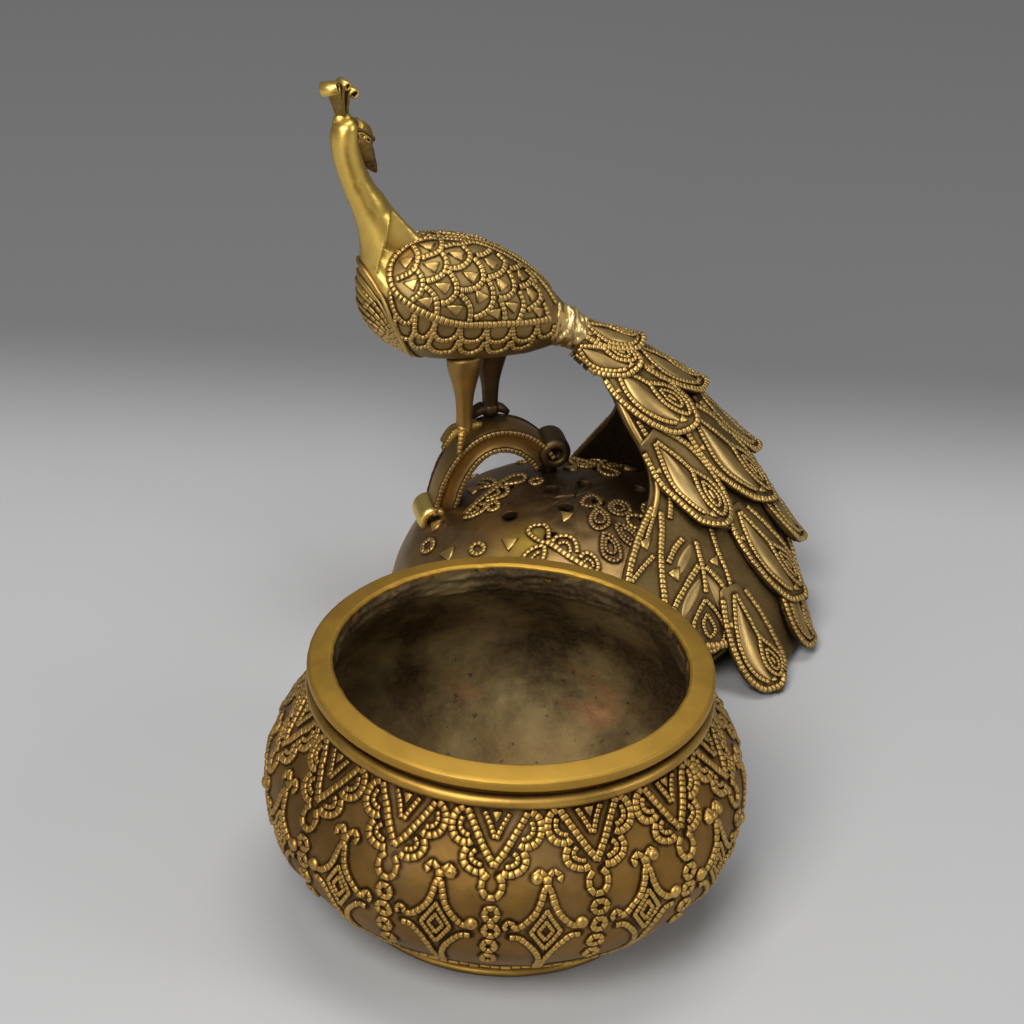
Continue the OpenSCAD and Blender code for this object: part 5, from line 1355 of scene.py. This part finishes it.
def feather(B, BO, f, full=True):
    BR = Build()
    # beaded border
    e = 0.85/f.hw
    edge = [(0.08, -0.90), (0.15, -1 + e*1.1), (0.3, -1 + e), (0.5, -1 + e), (0.68, -1 + e), (0.80, -1 + e*1.1), (0.885, -0.90), (0.932, -0.72), (0.958, -0.36), (0.966, 0), (0.958, 0.36), (0.932, 0.72), (0.885, 0.90),
            (0.80, 1 - e*1.1), (0.68, 1 - e), (0.5, 1 - e), (0.3, 1 - e), (0.15, 1 - e*1.1), (0.08, 0.90)]
    rope(BR, f.line(edge, -0.1, 6), 1.75, 0.90, 1.40)
    # line down the left of the leaf panel, and the middle line to the eye
    rope(BR, f.line([(0.08, -0.06), (0.20, -0.36), (0.38, -0.60), (0.58, -0.68), (0.76, -0.60), (0.84, -0.46)]), 1.35, 0.78, 1.25)
    rope(BR, f.line([(0.08, 0.06), (0.20, 0.14), (0.33, 0.19), (0.46, 0.22)]), 1.35, 0.78, 1.25)
    # eye: two beaded drops and a seed
    rope(BR, f.line([(0.45, 0.24), (0.56, 0.05), (0.68, -0.07), (0.80, -0.03), (0.88, 0.14), (0.885, 0.38), (0.835, 0.62), (0.74, 0.70), (0.62, 0.58), (0.53, 0.40), (0.455, 0.255)]), 1.35, 0.78, 1.2)
    rope(BR, f.line([(0.57, 0.27), (0.66, 0.14), (0.76, 0.13), (0.81, 0.25), (0.79, 0.44), (0.73, 0.49), (0.65, 0.42), (0.575, 0.28)]), 1.05, 0.66, 1.0)
    P, nn = f.line([(0.66, 0.28), (0.70, 0.29), (0.75, 0.30)], 0.0)
    rope(BR, (P, nn), 1.1, 0.6, 2.6, jitter=0.2)
    BO.V += [v for v in BR.V]
    BO.Q += [q + BO.n for q in BR.Q]
    BO.T += [q + BO.n for q in BR.T]
    BO.A += BR.A
    BO.n += BR.n
    BO.C += BR.C
    m, n = 54, 33
    s = 1 - (1 - np.linspace(0, 1, m))**1.2
    w = np.sin(np.linspace(-1, 1, n)*math.pi/2)
    S, W = np.meshgrid(s, w, indexing="ij")
    top, nt = f.true(S, W)
    rim = np.minimum(1, (1 - np.abs(W))*6)
    top = top - nt*(0.35*(1 - rim))[..., None]
    bot = top - nt*1.25
    bot[..., 2] = np.maximum(bot[..., 2], 0.35)
    top[..., 2] = np.maximum(top[..., 2], 0.55)
    tone = 0.30*patina(top, [BR], 0.65, 1.8).reshape(m, n)
    V = np.concatenate([top.reshape(-1, 3), bot.reshape(-1, 3)])
    o = m*n
    Q = [grid_faces(m, n), grid_faces(m, n, flip=True) + o]
    i = np.arange(m - 1)
    j = np.arange(n - 1)
    for a, b in ((i*n, (i + 1)*n), ((i + 1)*n + n - 1, i*n + n - 1)):
        Q.append(np.stack([a, a + o, b + o, b], -1))
    for a, b in ((j + 1, j), ((m - 1)*n + j, (m - 1)*n + j + 1)):
        Q.append(np.stack([a, a + o, b + o, b], -1))
    B.add(V, np.concatenate(Q), None, np.concatenate([tone.ravel(), np.full(o, 0.3)]))
    # smooth raised leaf panel, long and bright
    g = -1 if f.flip else 1
    lens(B, lambda s_, w_: f.true(s_, w_*g), (0.13, -0.03), (0.87, -0.30), -0.15, 0.30, 0.75)
    # small tiles
    for s0, w0, r_ in ((0.865, -0.22, 1.5), (0.28, -0.72, 1.2)):
        q = [(s0 + r_/34*math.cos(t), (w0 + r_/f.hw*math.sin(t))*g) for t in (0.3, 2.4, 4.5)]
        P, nn = f.true(np.array([x[0] for x in q]), np.array([x[1] for x in q]))
        prism(BO, P, nn, 0.70, 0.6)


CAPE_LENS = [((0.798, -0.752), (0.856, -0.808), 0.0, 0.022, 0.6), ((0.792, -0.728), (0.878, -0.664), 0.012, 0.022, 0.55), ((0.731, -0.786), (0.792, -0.822), 0.0, 0.022, 0.45),
             ((0.45, -0.935), (0.62, -0.935), 0.0, 0.014, 0.5)]


def tail():
    B = Build()

    def cl(L, w=1.35, h=0.8, pitch=1.3, lift=0.0, mirror=True):
        P = smooth(L, 6)
        rope(B, on_cape(P[:, 0], P[:, 1], lift), w, h, pitch)
        if mirror:
            rope(B, on_cape(P[:, 0], -P[:, 1], lift), w, h, pitch)
    # rail down the open edge, then the beaded borders on the skirt
    L = smooth([(0.10, -0.97), (0.25, -0.97), (0.42, -0.965), (0.58, -0.965), (0.68, -0.96)], 8)
    for g in (1, -1):
        wire(B, on_cape(L[:, 0], L[:, 1]*g, 0.0), 1.7, 0.9)
    cl([(0.40, -0.90), (0.50, -0.90), (0.60, -0.895), (0.68, -0.885)], 1.65, 0.8)
    cl([(0.655, -0.975), (0.70, -0.985), (0.76, -0.985), (0.83, -0.985), (0.895, -0.985)], 2.12, 0.95, 1.5)
    cl([(0.665, -0.955), (0.70, -0.957), (0.735, -0.955)], 1.30, 0.7, 1.15)
    cl([(0.76, -0.915), (0.78, -0.94), (0.81, -0.975)], 1.53, 0.75)
    cl([(0.665, -0.93), (0.71, -0.905), (0.745, -0.895), (0.79, -0.88), (0.84, -0.865), (0.895, -0.857)], 2.01, 0.9, 1.45)
    cl([(0.723, -0.82), (0.743, -0.845), (0.772, -0.862)], 1.77, 0.85)
    cl([(0.728, -0.768), (0.758, -0.752), (0.787, -0.741), (0.822, -0.735)], 1.53, 0.8)
    cl([(0.775, -0.757), (0.804, -0.792), (0.841, -0.835), (0.865, -0.855)], 1.89, 0.9, 1.4)
    cl([(0.777, -0.733), (0.803, -0.69), (0.834, -0.66), (0.860, -0.648), (0.884, -0.655), (0.898, -0.68)], 1.77, 0.85)
    cl([(0.832, -0.739), (0.849, -0.762), (0.866, -0.778), (0.886, -0.768), (0.902, -0.728), (0.893, -0.692), (0.874, -0.682), (0.851, -0.706), (0.832, -0.739)], 1.25, 0.75, 1.2)
    cl([(0.852, -0.736), (0.866, -0.748), (0.883, -0.732), (0.874, -0.712), (0.852, -0.735)], 1.18, 0.65, 0.95)
    cl([(0.893, -0.97), (0.893, -0.88), (0.893, -0.80), (0.895, -0.72), (0.897, -0.62)], 2.24, 0.95, 1.5)
    cl([(0.700, -0.703), (0.720, -0.696), (0.744, -0.685), (0.763, -0.674), (0.785, -0.660), (0.806, -0.652), (0.822, -0.648)], 1.5, 0.8)
    cl([(0.681, -0.975), (0.696, -0.986), (0.717, -0.990), (0.735, -0.990)], 1.2, 0.7, 1.1)
    for u0, v0, r_ in ((0.737, -0.955, 1.7), (0.790, -0.835, 1.6), (0.767, -0.698, 1.3), (0.872, -0.668, 1.3), (0.60, -0.93, 1.1)):
        for g in (1, -1):
            q = np.array([(u0 + r_/100*math.cos(t), v0 + r_/62*math.sin(t)) for t in (0.5, 2.6, 4.7)])
            P, nn = on_cape(q[:, 0], q[:, 1]*g, 0.0)
            prism(B, P, nn, 0.7, 0.5)
    CB = B
    # the cape itself, a wall; the skirt ends above the table on both sides
    B = Build()
    m, n = 210, 300
    v = np.linspace(-1, 1, n)
    top_u = 0.965 - 0.062*np.clip((np.abs(v) - 0.50)/0.12, 0, 1)
    q = np.linspace(0, 1, m)[:, None]
    u = 0.085 + (top_u[None] - 0.085)*q
    v = v[None]*np.ones((m, 1))
    nz = noise2(m, n, (14, 26))*0.05
    a, na = on_cape(u, v, nz)
    b, _ = on_cape(u, v, -1.75 + noise2(m, n, (12, 20))*0.10)
    a[..., 2], b[..., 2] = np.maximum(a[..., 2], 0.45), np.maximum(b[..., 2], 0.4)
    tone = (0.13 + 0.16*patina(a, [CB], 0.75, 2.1)).ravel()
    V = np.concatenate([a.reshape(-1, 3), b.reshape(-1, 3)])
    o = m*n
    Q = [grid_faces(m, n), grid_faces(m, n, flip=True) + o]
    i, j = np.arange(m - 1), np.arange(n - 1)
    for p, q in ((i*n, (i + 1)*n), ((i + 1)*n + n - 1, i*n + n - 1)):
        Q.append(np.stack([p, p + o, q + o, q], -1))
    for p, q in ((j + 1, j), ((m - 1)*n + j, (m - 1)*n + j + 1)):
        Q.append(np.stack([p, p + o, q + o, q], -1))
    # the cape's inner face gets the lowest tone: painted shade in its hollow
    B.add(V, np.concatenate(Q), None, np.concatenate([tone, np.full(o, 0.10)]))
    for g in (1, -1):
        for c0, c1, bend, half, hgt in CAPE_LENS:
            lens(B, lambda u_, v_: on_cape(u_, v_*g), c0, c1, bend, half, hgt)
    B.make("cape", "lid", "brass_antique", M_CAPE, ["tail_cape"])
    CB.make("cape_beads", "lid", "brass_ornament", M_ORN)
    for k, (name, L) in enumerate(TIERS.items()):
        B, BO = Build(), Build()
        for i, (root, tip, hw, flip, lift) in enumerate(L):
            feather(B, BO, Feather(root, tip, hw, flip, lift, 1.5 + 0.35*(i % 2)))
        B.make("feathers_%d" % (k + 1), "lid", "brass_ornament", M_FEATHER, [name])
        BO.make("feather_beads_%d" % (k + 1), "lid", "brass_ornament", M_ORN)


lace = bowl_ornament()
bowl(lace)
dome()
arch()
legs()
body(neck())
tail()

# ------------------------------------------------------------------ floor and light
fl = bpy.data.meshes.new("floor")
fl.from_pydata([(-4, -3, 0), (4, -3, 0), (4, 7, 0), (-4, 7, 0)], [], [(0, 1, 2, 3)])
floor = bpy.data.objects.new("floor", fl)
bpy.context.scene.collection.objects.link(floor)
mf = bpy.data.materials.new("floor_paper")
mf.use_nodes = True
nt = mf.node_tree
bs = nt.nodes["Principled BSDF"]
bs.inputs["Roughness"].default_value = 0.55
ns = nt.nodes.new("ShaderNodeTexNoise")
ns.inputs["Scale"].default_value = 6.0
ramp = nt.nodes.new("ShaderNodeMapRange")
ramp.inputs["To Min"].default_value, ramp.inputs["To Max"].default_value = 0.0, 1.0
mx = nt.nodes.new("ShaderNodeMix")
mx.data_type = "RGBA"
mx.inputs[6].default_value, mx.inputs[7].default_value = (0.385, 0.385, 0.389, 1), (0.418, 0.418, 0.422, 1)
tcn = nt.nodes.new("ShaderNodeTexCoord")
nt.links.new(tcn.outputs["Object"], ns.inputs["Vector"])
nt.links.new(ns.outputs["Fac"], ramp.inputs["Value"])
nt.links.new(ramp.outputs[0], mx.inputs[0])
# the floor's colour is painted darker towards the back of the table: painted shade where the lamps' light falls off
sep = nt.nodes.new("ShaderNodeSeparateXYZ")
nt.links.new(tcn.outputs["Object"], sep.inputs[0])
back = nt.nodes.new("ShaderNodeMapRange")
back.interpolation_type = "SMOOTHSTEP"
back.inputs["From Min"].default_value, back.inputs["From Max"].default_value = 0.190, 0.300
nt.links.new(sep.outputs["Y"], back.inputs["Value"])
mx2 = nt.nodes.new("ShaderNodeMix")
mx2.data_type = "RGBA"
mx2.inputs[7].default_value = (0.165, 0.162, 0.162, 1)
nt.links.new(back.outputs[0], mx2.inputs[0])
nt.links.new(mx.outputs[2], mx2.inputs[6])
nt.links.new(mx2.outputs[2], bs.inputs["Base Color"])
fl.materials.append(mf)


def area(name, loc, target, size, power, colour=(1, 1, 1)):
    d = bpy.data.lights.new(name, "AREA")
    d.shape = "RECTANGLE"
    d.size, d.size_y = size
    d.energy, d.color = power, colour
    o = bpy.data.objects.new(name, d)
    bpy.context.scene.collection.objects.link(o)
    z = unit(np.array(loc, float) - np.array(target, float))
    x = unit(np.cross([0, 0, 1.0], z)) if abs(z[2]) < 0.99 else np.array([1.0, 0, 0])
    y = np.cross(z, x)
    o.matrix_world = Matrix([[x[0], y[0], z[0], loc[0]], [x[1], y[1], z[1], loc[1]], [x[2], y[2], z[2], loc[2]], [0, 0, 0, 1]])
    return o


area("key", (-0.42, -0.95, 1.25), (0.0, 0.05, 0.05), (0.75, 0.6), 21.5, (1.0, 0.99, 0.965))
area("top", (0.05, 0.25, 1.45), (0.0, 0.10, 0.05), (0.9, 0.6), 9, (1.0, 1.0, 1.0))
area("front", (-0.30, -0.85, 0.42), (-0.05, 0.12, 0.12), (0.22, 0.45), 2.4, (1.0, 0.98, 0.94))
area("side", (1.15, -0.35, 0.70), (0.05, 0.12, 0.08), (0.35, 0.7), 4.5, (1.0, 0.99, 0.97))
world = bpy.data.worlds.new("studio")
world.use_nodes = True
world.node_tree.nodes["Background"].inputs[0].default_value = (0.60, 0.62, 0.66, 1)
world.node_tree.nodes["Background"].inputs[1].default_value = 0.24
bpy.context.scene.world = world
bpy.context.scene.view_settings.view_transform = "Standard"
